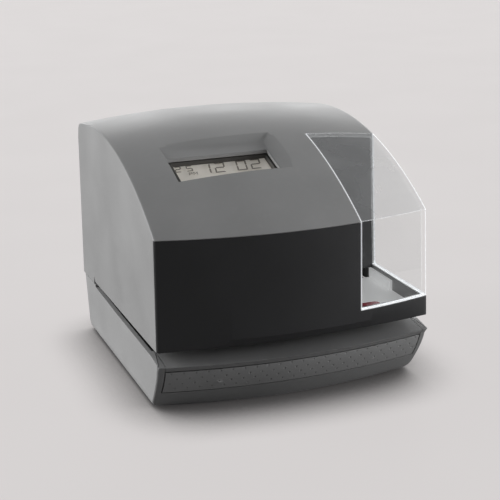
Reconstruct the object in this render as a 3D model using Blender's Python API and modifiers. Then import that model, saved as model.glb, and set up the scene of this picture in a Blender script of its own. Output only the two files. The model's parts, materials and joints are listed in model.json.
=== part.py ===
"""Date and time stamp machine: a curved cover over a print unit, and a base with a push bar.

Metres, +Z up. X runs across the machine, the front faces -Y, and the origin lies on the
table under the middle of the machine. Every piece is one object on its own.
"""
import math

import bmesh
import bpy
from mathutils import Matrix, Vector

# Overall size of the machine
WIDTH = 0.1600
DEPTH = 0.1829
HEIGHT = 0.1448
HALF_WIDTH = WIDTH / 2
BACK_Y = DEPTH / 2

# Clearances and cuts
GAP = 0.0003
DECK_MARGIN = 0.0055
DECK_HALF = HALF_WIDTH - DECK_MARGIN
OVERRUN = 0.0100
SHORT_OVERRUN = 0.0010
WELD = 0.00001
SMOOTH_ANGLE = math.radians(35)
QUAD_CORNERS = 4

# Cover: a side profile of an upright front and one long arc, crowned across the width
CROWN = 0.0050
ARC_RADIUS = 0.2220
ARC_PEAK_Y = 0.0450
FRONT_BOW = 0.0125
SKIRT_BOW = 0.0075
SKIRT_BAND = 0.0052
COVER_DRAFT = 0.0017
COVER_WALL = 0.0025
COVER_EDGE_RADIUS = 0.0010
REAR_EDGE_RADIUS = 0.0050
THROAT_CEILING_Z = 0.0399
THROAT_END_Y = 0.0630
THROAT_NOTCH = 0.0030
PANEL_THICKNESS = 0.0022
CORNER_Y = FRONT_BOW - BACK_Y
PEAK_Z = HEIGHT - CROWN
STATION_COUNT = 20
SLOPE_COUNT = 14
ROUND_COUNT = 4

# Base: a tray with a bowed nose, a chin that curves under and rounded lower edges
BASE_TOP_Z = 0.0380
BASE_RIM_Z = 0.0012
BASE_WALL = 0.0025
BASE_TAPER = 0.0012
BASE_EDGE_RADIUS = 0.0045
BASE_PLAN_RADIUS = 0.0050
NOSE_BOW = 0.0108
NOSE_PLAN_RADIUS = 0.0010
LIP_Z = 0.0317
LIP_FACE = 0.0030
LIP_SETBACK = 0.0030
CHIN_RUN = 0.0205
CHIN_CURVE_SHARE = 1.3
NOSE_Y = NOSE_BOW - BACK_Y

# Height of the base's upper edge under the throat, at its depth stations
APRON_Y = -0.0650
APRON_Z = 0.0340
RAIL_MIDDLE_Y = 0.0100
RAIL_MIDDLE_Z = 0.0350
RAIL_END_Z = 0.0365

# Dark front mouldings of the base
CHIN_THICKNESS = 0.0025
APRON_DEPTH = 0.0160
SIDE_SKIN = 0.0010
SEAM_X = 0.0760
SEAM_GAP = 0.0003
LIP_REAR_Y = -0.0585
BAR_TOP_Z = 0.0280
BAR_BOTTOM_Z = 0.0134
BAR_THICKNESS = 0.0022
BAR_LEVEL_COUNT = 7
BAR_TRAVEL = 0.0016
BAR_END_GAP = 0.0007
BAR_LOWER_GAP = 0.0005
BAR_GUIDE_X = 0.0450
BAR_GUIDE_RADIUS = 0.0024
BAR_GUIDE_END_Y = -0.0480
BAR_GUIDE_CLEARANCE = 0.0004
POCKET_Y = -0.0610
SPRING_RADIUS = 0.0040
SPRING_WIRE = 0.0005
SPRING_TURNS = 7
SPRING_STEPS = 10
SWITCH_SIZE = (0.0200, 0.0100)
SWITCH_LEVER = (0.0060, 0.0016)

# Throat floor
THROAT_PLATE = 0.0020
THROAT_PLATE_HALF = 0.0770
PLATEN_SIZE = (0.0960, 0.0100, 0.0012)
PLATEN_X = -0.0205
PLATEN_PROUD = 0.0002
PRINT_LINE_Y = -0.0525

# Inside the base
RIM_LEDGE = 0.0004
BOTTOM_PLATE = 0.0015
BOTTOM_PLATE_HALF = 0.0700
BOTTOM_PLATE_FRONT_Y = -0.0520
BOTTOM_PLATE_REAR_Y = 0.0850
BOSS_RADIUS = 0.0042
BOSS_X = 0.0715
BOSS_FRONT_Y = -0.0440
BOSS_REAR_Y = 0.0770
BOSS_HEIGHT = 0.0180
FOOT_RADIUS = 0.0065
FOOT_INSET = 0.0140
FOOT_X = BOTTOM_PLATE_HALF - FOOT_INSET
FOOT_FRONT_Y = -0.0400
FOOT_REAR_Y = 0.0730
KEYHOLE_X = 0.0400
KEYHOLE_Y = 0.0500
KEYHOLE_RADIUS = 0.0042
KEYHOLE_SLOT = 0.0042
KEYHOLE_LENGTH = 0.0090
POWER_BOARD = (0.0900, 0.0600, 0.0016)
POWER_BOARD_CENTRE = (-0.0200, 0.0200)
POWER_BOARD_Z = 0.0080
CAPACITOR_RADIUS = 0.0050
CAPACITOR_HEIGHT = 0.0130
CAPACITOR_PITCH = 0.0130
CAPACITOR_COUNT = 3
REGULATOR_SIZE = (0.0220, 0.0120, 0.0140)
STANDOFF_RADIUS = 0.0030
STANDOFF_INSET = 0.0050
BATTERY_RADIUS = 0.0072
BATTERY_LENGTH = 0.0500
BATTERY_CENTRE = (0.0480, 0.0200)
INLET_X = -0.0500
INLET_Z = 0.0165
INLET_BODY = (0.0140, 0.0110, 0.0110)
INLET_BARREL_RADIUS = 0.0046
INLET_BORE_RADIUS = 0.0032
INLET_BORE_DEPTH = 0.0090
INLET_SETBACK = 0.0004

# Window of clear moulding in the cover's front right corner, and the chamber behind it
WINDOW_LEFT_X = 0.0345
WINDOW_REAR_Y = -0.0105
WINDOW_SILL_Z = 0.0515
WINDOW_THICKNESS = 0.0022
CHAMBER_WALL = 0.0015
CHAMBER_WALL_BOTTOM_Z = 0.0500
TRAY_Z = 0.0420
TRAY_THICKNESS = 0.0020
TRAY_RIB_X = DECK_HALF
TRAY_RIB = 0.0015
TRAY_RIB_TOP_Z = 0.0500
TRAY_RIB_FRONT_Y = -0.0420
POINTER_TIP_X = 0.0540
POINTER_LENGTH = 0.0120
POINTER_Y = -0.0710
POINTER_WIDTH = 0.0054
POINTER_Z = 0.0482
POINTER_THICKNESS = 0.0018
POINTER_STEM = 0.0040

# Recess for the display in the front slope: a tilted floor with flared walls
RECESS_TILT = math.radians(18)
RECESS_FLOOR_LEFT_X = -0.0540
RECESS_FLOOR_RIGHT_X = 0.0080
RECESS_FLOOR_REAR_Y = -0.0100
RECESS_FLOOR_FRONT_Y = -0.0446
RECESS_DROP = 0.0218
RECESS_FLOOR_Z = HEIGHT - RECESS_DROP
RECESS_FLARE_LEFT = 0.0006
RECESS_FLARE_RIGHT = 0.0125
RECESS_FLARE_REAR = 0.0110
RECESS_FLARE_FRONT = 0.0012
RECESS_RISE = 0.0080
RECESS_WALL = 0.0020
DISPLAY_LEFT_X = -0.0536
DISPLAY_RIGHT_X = 0.0068
DISPLAY_REAR_Y = -0.0194
DISPLAY_FRONT_Y = -0.0443
DISPLAY_DROP = 0.0050

# Display unit on the print unit
MODULE_MARGIN = 0.0030
MODULE_REAR = 0.0050
MODULE_THICKNESS = 0.0040
GLASS_LEFT_X = -0.0505
GLASS_RIGHT_X = 0.0056
GLASS_REAR_Y = -0.0184
GLASS_FRONT_Y = -0.0400
GLASS_PROUD = 0.0004
GLASS_SEAT = 0.0008

# Print unit: frame, deck, rods and carriage
FRAME_LEFT_X = -0.0700
FRAME_RIGHT_X = 0.0300
FRAME_SHEET = 0.0015
FRAME_FRONT_Y = -0.0640
FRAME_REAR_Y = 0.0840
FRAME_FRONT_Z = 0.0840
FRAME_REAR_Z = 0.1120
FRAME_KNEE_Y = -0.0200
FRAME_KNEE_Z = 0.1060
FRAME_FOOT_Y = 0.0665
DECK_THICKNESS = 0.0015
DECK_REAR_Y = 0.0620
DECK_FRONT_Y = -0.0735
DECK_FRONT_BOW = 0.0060
APERTURE_WIDTH = 0.0960
APERTURE_DEPTH = 0.0140
ROD_RADIUS = 0.0030
ROD_FRONT_Y = -0.0400
ROD_FRONT_Z = 0.0580
ROD_REAR_Y = -0.0140
ROD_REAR_Z = 0.0740
ROD_RUNNING_GAP = 0.0001
CARRIAGE_WIDTH = 0.0240
CARRIAGE_START_X = -0.0660
CARRIAGE_FRONT_Y = -0.0470
CARRIAGE_REAR_Y = -0.0080
CARRIAGE_BOTTOM_Z = 0.0500
CARRIAGE_TOP_Z = 0.0810
CARRIAGE_SLOPE_Z = 0.0660
HEAD_WIDTH = 0.0180
HEAD_FRONT_Y = -0.0640
HEAD_TOP_Z = 0.0700
HEAD_BOTTOM_Z = 0.0500
NOSE_HALF_DEPTH = 0.0040
NOSE_END_Z = 0.0427
FIN_COUNT = 5
FIN_DEPTH = 0.0060
FIN_SLOT_SHARE = 0.5
RIBBON_WIDTH = 0.0130
RIBBON_THICKNESS = 0.0003
RIBBON_Z = 0.0420
CASSETTE_FRONT_Y = 0.0020
CASSETTE_REAR_Y = 0.0400
CASSETTE_RIGHT_X = 0.0282
CASSETTE_LEFT_X = -0.0682
CASSETTE_TOP_Z = 0.0580
CASSETTE_BOTTOM_Z = 0.0420
CASSETTE_ARM_WIDTH = 0.0040
CASSETTE_ARM_TOP_Z = 0.0480
CASSETTE_ARM_FRONT_Y = -0.0610
KNOB_X = -0.0400
KNOB_Y = 0.0210
KNOB_RADIUS = 0.0080
KNOB_HEIGHT = 0.0070
KNOB_STEM_RADIUS = 0.0030
KNOB_STEM_DEPTH = 0.0060
KNOB_FLUTES = 10
KNOB_FLUTE_RADIUS = 0.0012
MOTOR_X = -0.0500
MOTOR_Z = 0.0900
MOTOR_RADIUS = 0.0140
MOTOR_DEPTH = 0.0220
MOTOR_SHAFT_RADIUS = 0.0012
MOTOR_PLATE_Y = 0.0000
MOTOR_PLATE_BOTTOM_Z = 0.0740
MOTOR_PLATE_TOP_Z = 0.1060
IDLER_X = 0.0150
PULLEY_RADIUS = 0.0060
PULLEY_WIDTH = 0.0040
PULLEY_FLANGE_THICKNESS = 0.0008
PULLEY_MIDDLE_Y = -0.0042
PULLEY_BORE_GAP = 0.0003
BELT_THICKNESS = 0.0008
BELT_CLEARANCE = 0.0003
BELT_ARC_COUNT = 12
CLIP_WIDTH = 0.0080

# Boards, bracket and keys
BOARD_THICKNESS = 0.0016
MAIN_BOARD_X = 0.0340
MAIN_BOARD_FRONT_Y = -0.0040
MAIN_BOARD_REAR_Y = 0.0720
MAIN_BOARD_BOTTOM_Z = 0.0480
MAIN_BOARD_TOP_Z = 0.1050
CHIP_SIZE = (0.0024, 0.0140, 0.0140)
CHIP_PITCH = 0.0200
CHIP_COUNT = 3
CONNECTOR_SIZE = (0.0070, 0.0240, 0.0060)
BRACKET_SHEET = 0.0015
BRACKET_LEFT_X = -0.0560
BRACKET_RIGHT_X = 0.0100
BRACKET_SHELF_DROP = 0.0308
BRACKET_SHELF_Z = HEIGHT - BRACKET_SHELF_DROP
BRACKET_SHELF_REAR_Y = 0.0260
KEY_BOARD_FRONT_Y = 0.0060
KEY_BOARD_REAR_Y = 0.0240
KEY_BODY = (0.0062, 0.0062, 0.0036)
KEY_CAP_RADIUS = 0.0019
KEY_CAP_HEIGHT = 0.0030
KEY_TRAVEL = 0.0008
KEY_PITCH = 0.0140
KEY_FIRST_X = -0.0400
KEY_NAMES = ("key_select", "key_change", "key_set")

# Lock in the cover's right side
LOCK_Y = 0.0600
LOCK_Z = 0.0620
LOCK_HOUSING_RADIUS = 0.0090
LOCK_BARREL_RADIUS = 0.0062
LOCK_CLEARANCE = 0.0003
LOCK_DEPTH = 0.0120
LOCK_FACE_SETBACK = 0.0012
KEYWAY = (0.0016, 0.0060)
KEYWAY_DEPTH = 0.0060
CAM_THICKNESS = 0.0016
CAM_WIDTH = 0.0080
CAM_LENGTH = 0.0150

# Screws
SCREW_HEAD_RADIUS = 0.0030
SCREW_HEAD_HEIGHT = 0.0012
ROUND_SIDES = 24
SMALL_SIDES = 12


def clear_scene():
    for obj in list(bpy.data.objects):
        bpy.data.objects.remove(obj, do_unlink=True)


def make_collection(name):
    collection = bpy.data.collections.new(name)
    bpy.context.scene.collection.children.link(collection)
    return collection


def make_material(name, colour, roughness, metallic=0.0, alpha=1.0):
    material = bpy.data.materials.new(name)
    material.use_nodes = True
    shader = material.node_tree.nodes["Principled BSDF"]
    shader.inputs["Base Color"].default_value = (*colour, 1.0)
    shader.inputs["Roughness"].default_value = roughness
    shader.inputs["Metallic"].default_value = metallic
    shader.inputs["Alpha"].default_value = alpha
    return material


clear_scene()
PARTS = make_collection("date_time_stamp_machine")
CUTTERS = make_collection("cutters")


def place_in(obj, collection):
    for old in list(obj.users_collection):
        old.objects.unlink(obj)
    collection.objects.link(obj)
    if collection is CUTTERS:
        obj.hide_render = True
        obj.display_type = "WIRE"
    return obj


def finish_mesh(bm, name, collection):
    bmesh.ops.recalc_face_normals(bm, faces=bm.faces)
    mesh = bpy.data.meshes.new(name)
    bm.to_mesh(mesh)
    bm.free()
    return place_in_new(name, mesh, collection)


def place_in_new(name, mesh, collection):
    obj = bpy.data.objects.new(name, mesh)
    collection.objects.link(obj)
    if collection is CUTTERS:
        obj.hide_render = True
        obj.display_type = "WIRE"
    return obj


def loft(name, sections, collection):
    """One closed body through closed sections that all have as many points."""
    bm = bmesh.new()
    rings = [[bm.verts.new(point) for point in section] for section in sections]
    count = len(sections[0])
    for ring, following in zip(rings, rings[1:]):
        for index in range(count):
            after = (index + 1) % count
            bm.faces.new((ring[index], ring[after], following[after], following[index]))
    bm.faces.new(rings[0])
    bm.faces.new(rings[-1])
    return finish_mesh(bm, name, collection)


def box(name, x_span, y_span, z_span, collection):
    spans = (x_span, y_span, z_span)
    centre = [sum(span) / 2 for span in spans]
    size = [span[1] - span[0] for span in spans]
    bpy.ops.mesh.primitive_cube_add(size=1, location=centre)
    obj = bpy.context.object
    obj.name = name
    obj.data.transform(Matrix.Diagonal((*size, 1.0)))
    return place_in(obj, collection)


def centred_box(name, size, centre, collection):
    spans = [(middle - extent / 2, middle + extent / 2) for middle, extent in zip(centre, size)]
    return box(name, *spans, collection)


AXIS_TURNS = {"X": (0, math.pi / 2, 0), "Y": (-math.pi / 2, 0, 0), "Z": (0, 0, 0)}


def cylinder(name, radius, span, centre, axis, collection, sides=ROUND_SIDES):
    """A cylinder along one axis from span[0] to span[1]; centre gives the other two places."""
    middle = (span[0] + span[1]) / 2
    places = {"X": (middle, *centre), "Y": (centre[0], middle, centre[1]), "Z": (*centre, middle)}
    bpy.ops.mesh.primitive_cylinder_add(
        vertices=sides, radius=radius, depth=span[1] - span[0],
        location=places[axis], rotation=AXIS_TURNS[axis])
    obj = bpy.context.object
    obj.name = name
    turn = obj.rotation_euler.to_matrix().to_4x4()
    obj.data.transform(turn)
    obj.rotation_euler = (0, 0, 0)
    smooth(obj)
    return place_in(obj, collection)


def turned(name, profile, location, axis, collection, closed):
    """A profile of (radius, height) points, down its outer side, turned about one axis."""
    bm = bmesh.new()
    verts = [bm.verts.new((radius, 0, height)) for radius, height in profile]
    for first, second in zip(verts, verts[1:]):
        bm.edges.new((first, second))
    if closed:
        bm.edges.new((verts[-1], verts[0]))
    mesh = bpy.data.meshes.new(name)
    bm.to_mesh(mesh)
    bm.free()
    obj = place_in_new(name, mesh, collection)
    screw = obj.modifiers.new("turn", "SCREW")
    screw.steps = ROUND_SIDES
    screw.render_steps = ROUND_SIDES
    screw.use_merge_vertices = True
    screw.merge_threshold = WELD
    screw.use_smooth_shade = True
    obj.location = location
    obj.rotation_euler = AXIS_TURNS[axis]
    return obj


def plate(name, outline, depth_span, axis, collection):
    """A flat outline as a filled curve, extruded along X or Z, made a welded mesh."""
    curve = bpy.data.curves.new(name, "CURVE")
    curve.dimensions = "2D"
    curve.fill_mode = "BOTH"
    curve.extrude = (depth_span[1] - depth_span[0]) / 2
    loops = outline if isinstance(outline[0][0], (tuple, list)) else [outline]
    for loop in loops:
        spline = curve.splines.new("POLY")
        spline.points.add(len(loop) - 1)
        for point, (across, along) in zip(spline.points, loop):
            point.co = (across, along, 0, 1)
        spline.use_cyclic_u = True
    source = bpy.data.objects.new(name + "_curve", curve)
    CUTTERS.objects.link(source)
    middle = (depth_span[0] + depth_span[1]) / 2
    if axis == "X":
        source.matrix_world = Matrix(((0, 0, 1, middle), (1, 0, 0, 0), (0, 1, 0, 0), (0, 0, 0, 1)))
    elif axis == "Y":
        source.matrix_world = Matrix(((1, 0, 0, 0), (0, 0, -1, middle), (0, 1, 0, 0), (0, 0, 0, 1)))
    else:
        source.matrix_world = Matrix.Translation((0, 0, middle))
    bpy.context.view_layer.update()
    evaluated = source.evaluated_get(bpy.context.evaluated_depsgraph_get())
    mesh = bpy.data.meshes.new_from_object(evaluated)
    bm = bmesh.new()
    bm.from_mesh(mesh)
    bmesh.ops.remove_doubles(bm, verts=bm.verts, dist=WELD)
    bmesh.ops.recalc_face_normals(bm, faces=bm.faces)
    bm.to_mesh(mesh)
    bm.free()
    obj = place_in_new(name, mesh, collection)
    obj.matrix_world = source.matrix_world
    bpy.data.objects.remove(source, do_unlink=True)
    return obj


def combine(target, other, operation):
    modifier = target.modifiers.new(other.name, "BOOLEAN")
    modifier.operation = operation
    modifier.object = other
    modifier.solver = "EXACT"
    return target


def cut(target, *others):
    for other in others:
        combine(target, other, "DIFFERENCE")
    return target


def keep(target, other):
    return combine(target, other, "INTERSECT")


def join(target, *others):
    for other in others:
        combine(target, other, "UNION")
    return target


def smooth(obj):
    obj.data.shade_smooth()
    obj.data.set_sharp_from_angle(angle=SMOOTH_ANGLE)


def paint(obj, material):
    obj.data.materials.clear()
    obj.data.materials.append(material)
    return obj


def spread(first, last, count):
    return [first + (last - first) * step / (count - 1) for step in range(count)]


# Shape of the cover


def cover_half_width(z, inset=0.0):
    rise = (z - BASE_TOP_Z) / (PEAK_Z - BASE_TOP_Z)
    return HALF_WIDTH - COVER_DRAFT * rise - inset


def slope_z(y):
    return PEAK_Z - ARC_RADIUS + math.sqrt(ARC_RADIUS ** 2 - (y - ARC_PEAK_Y) ** 2)


CREASE_Z = slope_z(CORNER_Y)


def bow_left(y):
    """Share of the front's bow that is left at this depth on the slope."""
    along = min(max((y - CORNER_Y) / (ARC_PEAK_Y - CORNER_Y), 0), 1)
    return (1 - along) ** 2


def front_bow(z):
    lift = min(max((z - THROAT_CEILING_Z) / SKIRT_BAND, 0), 1)
    return SKIRT_BOW + (FRONT_BOW - SKIRT_BOW) * lift


def cover_profile(station, front_inset, side_inset, top_inset, skirt_z):
    """One cross section of the cover's outside, or of its inside where insets are given."""
    fullness = 1 - station ** 2
    first_y = CORNER_Y + front_inset
    first_left = bow_left(first_y)
    points = []
    crease_z = slope_z(first_y) - top_inset
    fronts = (skirt_z, THROAT_CEILING_Z, THROAT_CEILING_Z + SKIRT_BAND, (THROAT_CEILING_Z + crease_z) / 2)
    for z in fronts:
        y = first_y - front_bow(z) * first_left * fullness
        points.append(Vector((station * cover_half_width(z, side_inset), y, z)))
    last_y = BACK_Y - REAR_EDGE_RADIUS
    for y in spread(first_y, last_y, SLOPE_COUNT):
        left = bow_left(y)
        side_z = slope_z(y) - top_inset
        height = side_z + CROWN * fullness * (1 - left)
        reach = station * cover_half_width(side_z, side_inset)
        points.append(Vector((reach, y - FRONT_BOW * fullness * left, height)))
    radius = REAR_EDGE_RADIUS - side_inset
    centre_z = slope_z(last_y) - top_inset - radius
    for step in range(1, ROUND_COUNT + 1):
        turn = math.pi / 2 * step / ROUND_COUNT
        side_z = centre_z + radius * math.cos(turn)
        height = side_z + CROWN * fullness
        reach = station * cover_half_width(side_z, side_inset)
        points.append(Vector((reach, last_y + radius * math.sin(turn), height)))
    points.append(Vector((station * cover_half_width(skirt_z, side_inset), BACK_Y - side_inset, skirt_z)))
    return points


def cover_solid(name, front_inset, side_inset, top_inset, skirt_z, collection):
    stations = spread(-1, 1, STATION_COUNT + 1)
    sections = [cover_profile(s, front_inset, side_inset, top_inset, skirt_z) for s in stations]
    return loft(name, sections, collection)


def outer_cover(name, collection):
    """The cover's outside with its long side edges rounded."""
    obj = cover_solid(name, 0, 0, 0, BASE_TOP_Z + GAP, collection)
    bm = bmesh.new()
    bm.from_mesh(obj.data)
    side_edges = []
    for edge in bm.edges:
        ends = edge.verts
        flat_end = any(len(face.verts) > QUAD_CORNERS for face in edge.link_faces)
        above = min(vert.co.z for vert in ends) > THROAT_CEILING_Z - GAP
        behind = min(vert.co.y for vert in ends) > BACK_Y - GAP
        if flat_end and above and not behind:
            side_edges.append(edge)
    bmesh.ops.bevel(bm, geom=side_edges, offset=COVER_EDGE_RADIUS, segments=2, profile=0.5,
                    affect="EDGES", clamp_overlap=True)
    bm.to_mesh(obj.data)
    bm.free()
    smooth(obj)
    return obj


# Shape of the base


def base_tuck(z):
    """How far the base's sides and back lie inside their widest line at this height."""
    lift = z - BASE_RIM_Z
    taper = BASE_TAPER * (1 - lift / (BASE_TOP_Z - BASE_RIM_Z))
    below = max(BASE_EDGE_RADIUS - lift, 0)
    return taper + BASE_EDGE_RADIUS - math.sqrt(BASE_EDGE_RADIUS ** 2 - below ** 2)


def chin_setback(z):
    """How far the front lies behind the lip's edge at this height."""
    groove_z = LIP_Z - LIP_FACE
    if z >= LIP_Z:
        return 0.0
    if z >= groove_z:
        return LIP_SETBACK * (LIP_Z - z) / LIP_FACE
    return LIP_SETBACK + CHIN_RUN * (1 - z / groove_z) ** CHIN_CURVE_SHARE


def corner_arc(before, corner, after):
    """Points of a rounded corner between two points, drawn towards the corner point."""
    points = []
    for step in range(ROUND_COUNT + 1):
        share = step / ROUND_COUNT
        first = before.lerp(corner, share)
        second = corner.lerp(after, share)
        points.append(first.lerp(second, share))
    return points


def front_y(z, x, inset=0.0):
    half = HALF_WIDTH - base_tuck(z)
    return NOSE_Y + chin_setback(z) + inset - NOSE_BOW * (1 - (x / half) ** 2)


def base_section(z, inset, front_inset):
    half = HALF_WIDTH - base_tuck(z) - inset
    rear = BACK_Y - base_tuck(z) - inset
    radius = max(BASE_PLAN_RADIUS - inset, NOSE_PLAN_RADIUS)
    nose = NOSE_PLAN_RADIUS
    corner_y = front_y(z, half, front_inset)
    side = corner_arc(Vector((half - radius, rear)), Vector((half, rear)), Vector((half, rear - radius)))
    inner_y = front_y(z, half - nose, front_inset)
    side += corner_arc(Vector((half, corner_y + nose)), Vector((half, corner_y)),
                       Vector((half - nose, inner_y)))
    for x in spread(half - nose, 0, STATION_COUNT // 2)[1:-1]:
        side.append(Vector((x, front_y(z, x, front_inset))))
    middle = [Vector((0, front_y(z, 0, front_inset)))]
    mirrored = [Vector((-point.x, point.y)) for point in reversed(side)]
    return [Vector((point.x, point.y, z)) for point in side + middle + mirrored]


BASE_LEVEL_SHARES = (0, 0.03, 0.09, 0.18, 0.30, 0.45, 0.60, 0.75, 0.88, 1)


def base_levels():
    groove_z = LIP_Z - LIP_FACE
    lower = [BASE_RIM_Z + (groove_z - BASE_RIM_Z) * share for share in BASE_LEVEL_SHARES]
    return lower + [LIP_Z + GAP / 2, BASE_TOP_Z]


def base_solid(name, collection):
    """The base's whole outside, with its upper edge cut along the throat floor."""
    obj = loft(name, [base_section(z, 0, 0) for z in base_levels()], collection)
    smooth(obj)
    return cut(obj, throat_cutter())


def throat_profile(station):
    fullness = 1 - station ** 2
    x = station * (HALF_WIDTH + OVERRUN)
    ahead = -BACK_Y - OVERRUN
    points = (
        (ahead, LIP_Z),
        (NOSE_Y + GAP - NOSE_BOW * fullness, LIP_Z),
        (APRON_Y - NOSE_BOW * fullness, APRON_Z),
        (RAIL_MIDDLE_Y, RAIL_MIDDLE_Z),
        (THROAT_END_Y - THROAT_NOTCH, RAIL_END_Z),
        (THROAT_END_Y, BASE_TOP_Z + OVERRUN),
        (ahead, BASE_TOP_Z + OVERRUN),
    )
    return [Vector((x, y, z)) for y, z in points]


def throat_cutter():
    stations = spread(-1, 1, STATION_COUNT + 1)
    return loft("throat_cutter", [throat_profile(s) for s in stations], CUTTERS)


def front_region(name, levels, half_at, y_at, thickness_at, extra, collection):
    """Everything ahead of a bowed back face, which runs out to the side's skin at both ends."""
    sections = []
    reach = HALF_WIDTH + OVERRUN
    ahead = -BACK_Y - OVERRUN
    for z in levels:
        half = half_at(z)
        thickness = thickness_at(z) + extra
        skin_x = half - SIDE_SKIN + extra
        full_x = half - SIDE_SKIN - CHIN_THICKNESS + extra
        end_y = y_at(z, half) + NOSE_PLAN_RADIUS + extra
        right = [Vector((reach, ahead, z)), Vector((reach, end_y, z)), Vector((skin_x, end_y, z))]
        for x in spread(full_x, 0, STATION_COUNT // 2)[:-1]:
            right.append(Vector((x, y_at(z, x) + thickness, z)))
        middle = [Vector((0, y_at(z, 0) + thickness, z))]
        left = [Vector((-point.x, point.y, z)) for point in reversed(right)]
        sections.append(right + middle + left)
    return loft(name, sections, collection)


def chin_region(name, extra, collection):
    groove_z = LIP_Z - LIP_FACE
    levels = [BASE_RIM_Z - SHORT_OVERRUN]
    levels += [BASE_RIM_Z + (groove_z - BASE_RIM_Z) * share for share in BASE_LEVEL_SHARES]
    apron_z = LIP_Z - LIP_FACE / 2 - extra
    levels += [apron_z - GAP / 2, apron_z, BASE_TOP_Z + OVERRUN]

    def level_half(z):
        return HALF_WIDTH - base_tuck(max(z, BASE_RIM_Z))

    def level_y(z, x):
        return front_y(max(z, BASE_RIM_Z), x)

    def level_thickness(z):
        return APRON_DEPTH if z >= apron_z else CHIN_THICKNESS

    return front_region(name, levels, level_half, level_y, level_thickness, extra, collection)


# Base pieces


def make_chin_moulding(material):
    obj = base_solid("chin_moulding", PARTS)
    keep(obj, chin_region("chin_region", 0, CUTTERS))
    bay = box("bar_bay_cutter", (-SEAM_X, SEAM_X), (-BACK_Y - OVERRUN, LIP_REAR_Y + OVERRUN),
              (BAR_BOTTOM_Z - BAR_LOWER_GAP, BASE_TOP_Z + OVERRUN), CUTTERS)
    cut(obj, bay)
    return paint(obj, material)


def make_throat_lip(material):
    obj = base_solid("throat_lip", PARTS)
    strip = box("lip_strip_cutter", (-SEAM_X + SEAM_GAP, SEAM_X - SEAM_GAP),
                (-BACK_Y - OVERRUN, LIP_REAR_Y), (LIP_Z - LIP_FACE, BASE_TOP_Z + OVERRUN), CUTTERS)
    keep(obj, strip)
    return paint(obj, material)


def make_push_bar(material):
    obj = base_solid("push_bar", PARTS)

    def bar_half(z):
        return HALF_WIDTH - base_tuck(z)

    def bar_thickness(z):
        return BAR_THICKNESS

    levels = spread(BAR_BOTTOM_Z - BAR_THICKNESS, BAR_TOP_Z + BAR_THICKNESS / 4, BAR_LEVEL_COUNT)
    keep(obj, front_region("bar_region", levels, bar_half, front_y, bar_thickness, 0, CUTTERS))
    reach = SEAM_X - BAR_END_GAP
    keep(obj, box("bar_span_cutter", (-reach, reach), (-BACK_Y - OVERRUN, 0), (BAR_BOTTOM_Z, BAR_TOP_Z),
                  CUTTERS))
    middle_z = (BAR_TOP_Z + BAR_BOTTOM_Z) / 2
    for side in (-1, 1):
        start = front_y(middle_z, BAR_GUIDE_X) + BAR_THICKNESS / 2
        guide = cylinder("bar_guide_tool", BAR_GUIDE_RADIUS, (start, BAR_GUIDE_END_Y),
                         (side * BAR_GUIDE_X, middle_z), "Y", CUTTERS, SMALL_SIDES)
        join(obj, guide)
    return paint(obj, material)


def coil_points(radius, start, end, turns, steps):
    points = []
    count = turns * steps
    for index in range(count + 1):
        turn = math.tau * index / steps
        along = start + (end - start) * index / count
        points.append((radius * math.cos(turn), along, radius * math.sin(turn)))
    return points


def make_bar_springs(material):
    middle_z = (BAR_TOP_Z + BAR_BOTTOM_Z) / 2
    outside = SPRING_RADIUS + SPRING_WIRE
    rearmost = front_y(middle_z - outside, BAR_GUIDE_X + outside) + BAR_THICKNESS
    start = rearmost + SPRING_WIRE + GAP
    end = POCKET_Y - SPRING_WIRE - GAP
    points = coil_points(SPRING_RADIUS, start, end, SPRING_TURNS, SPRING_STEPS)
    for name, side in (("bar_spring_left", -1), ("bar_spring_right", 1)):
        curve = bpy.data.curves.new(name, "CURVE")
        curve.dimensions = "3D"
        curve.bevel_depth = SPRING_WIRE
        curve.bevel_resolution = 0
        curve.use_fill_caps = True
        spline = curve.splines.new("POLY")
        spline.points.add(len(points) - 1)
        for target, point in zip(spline.points, points):
            target.co = (*point, 1)
        obj = bpy.data.objects.new(name, curve)
        obj.location = (side * BAR_GUIDE_X, 0, middle_z)
        PARTS.objects.link(obj)
        curve.materials.append(material)


def make_bar_switch(material):
    """A switch on the pocket's rear wall; the bar just meets its lever when pressed home."""
    width, height = SWITCH_SIZE
    lever_width, lever_height = SWITCH_LEVER
    body_rear = POCKET_Y - GAP
    reach = BAR_THICKNESS + BAR_TRAVEL + GAP
    body_front = front_y(BAR_BOTTOM_Z, 0) + reach + GAP
    top = BAR_BOTTOM_Z + height
    obj = box("bar_switch", (-width / 2, width / 2), (body_front, body_rear), (BAR_BOTTOM_Z, top), PARTS)
    lever_low = top - lever_height * 2
    lever_tip = front_y(lever_low, 0) + reach
    lever = box("switch_lever_tool", (-lever_width / 2, lever_width / 2),
                (lever_tip, body_front + lever_height), (lever_low, lever_low + lever_height), CUTTERS)
    join(obj, lever)
    return paint(obj, material)


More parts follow.
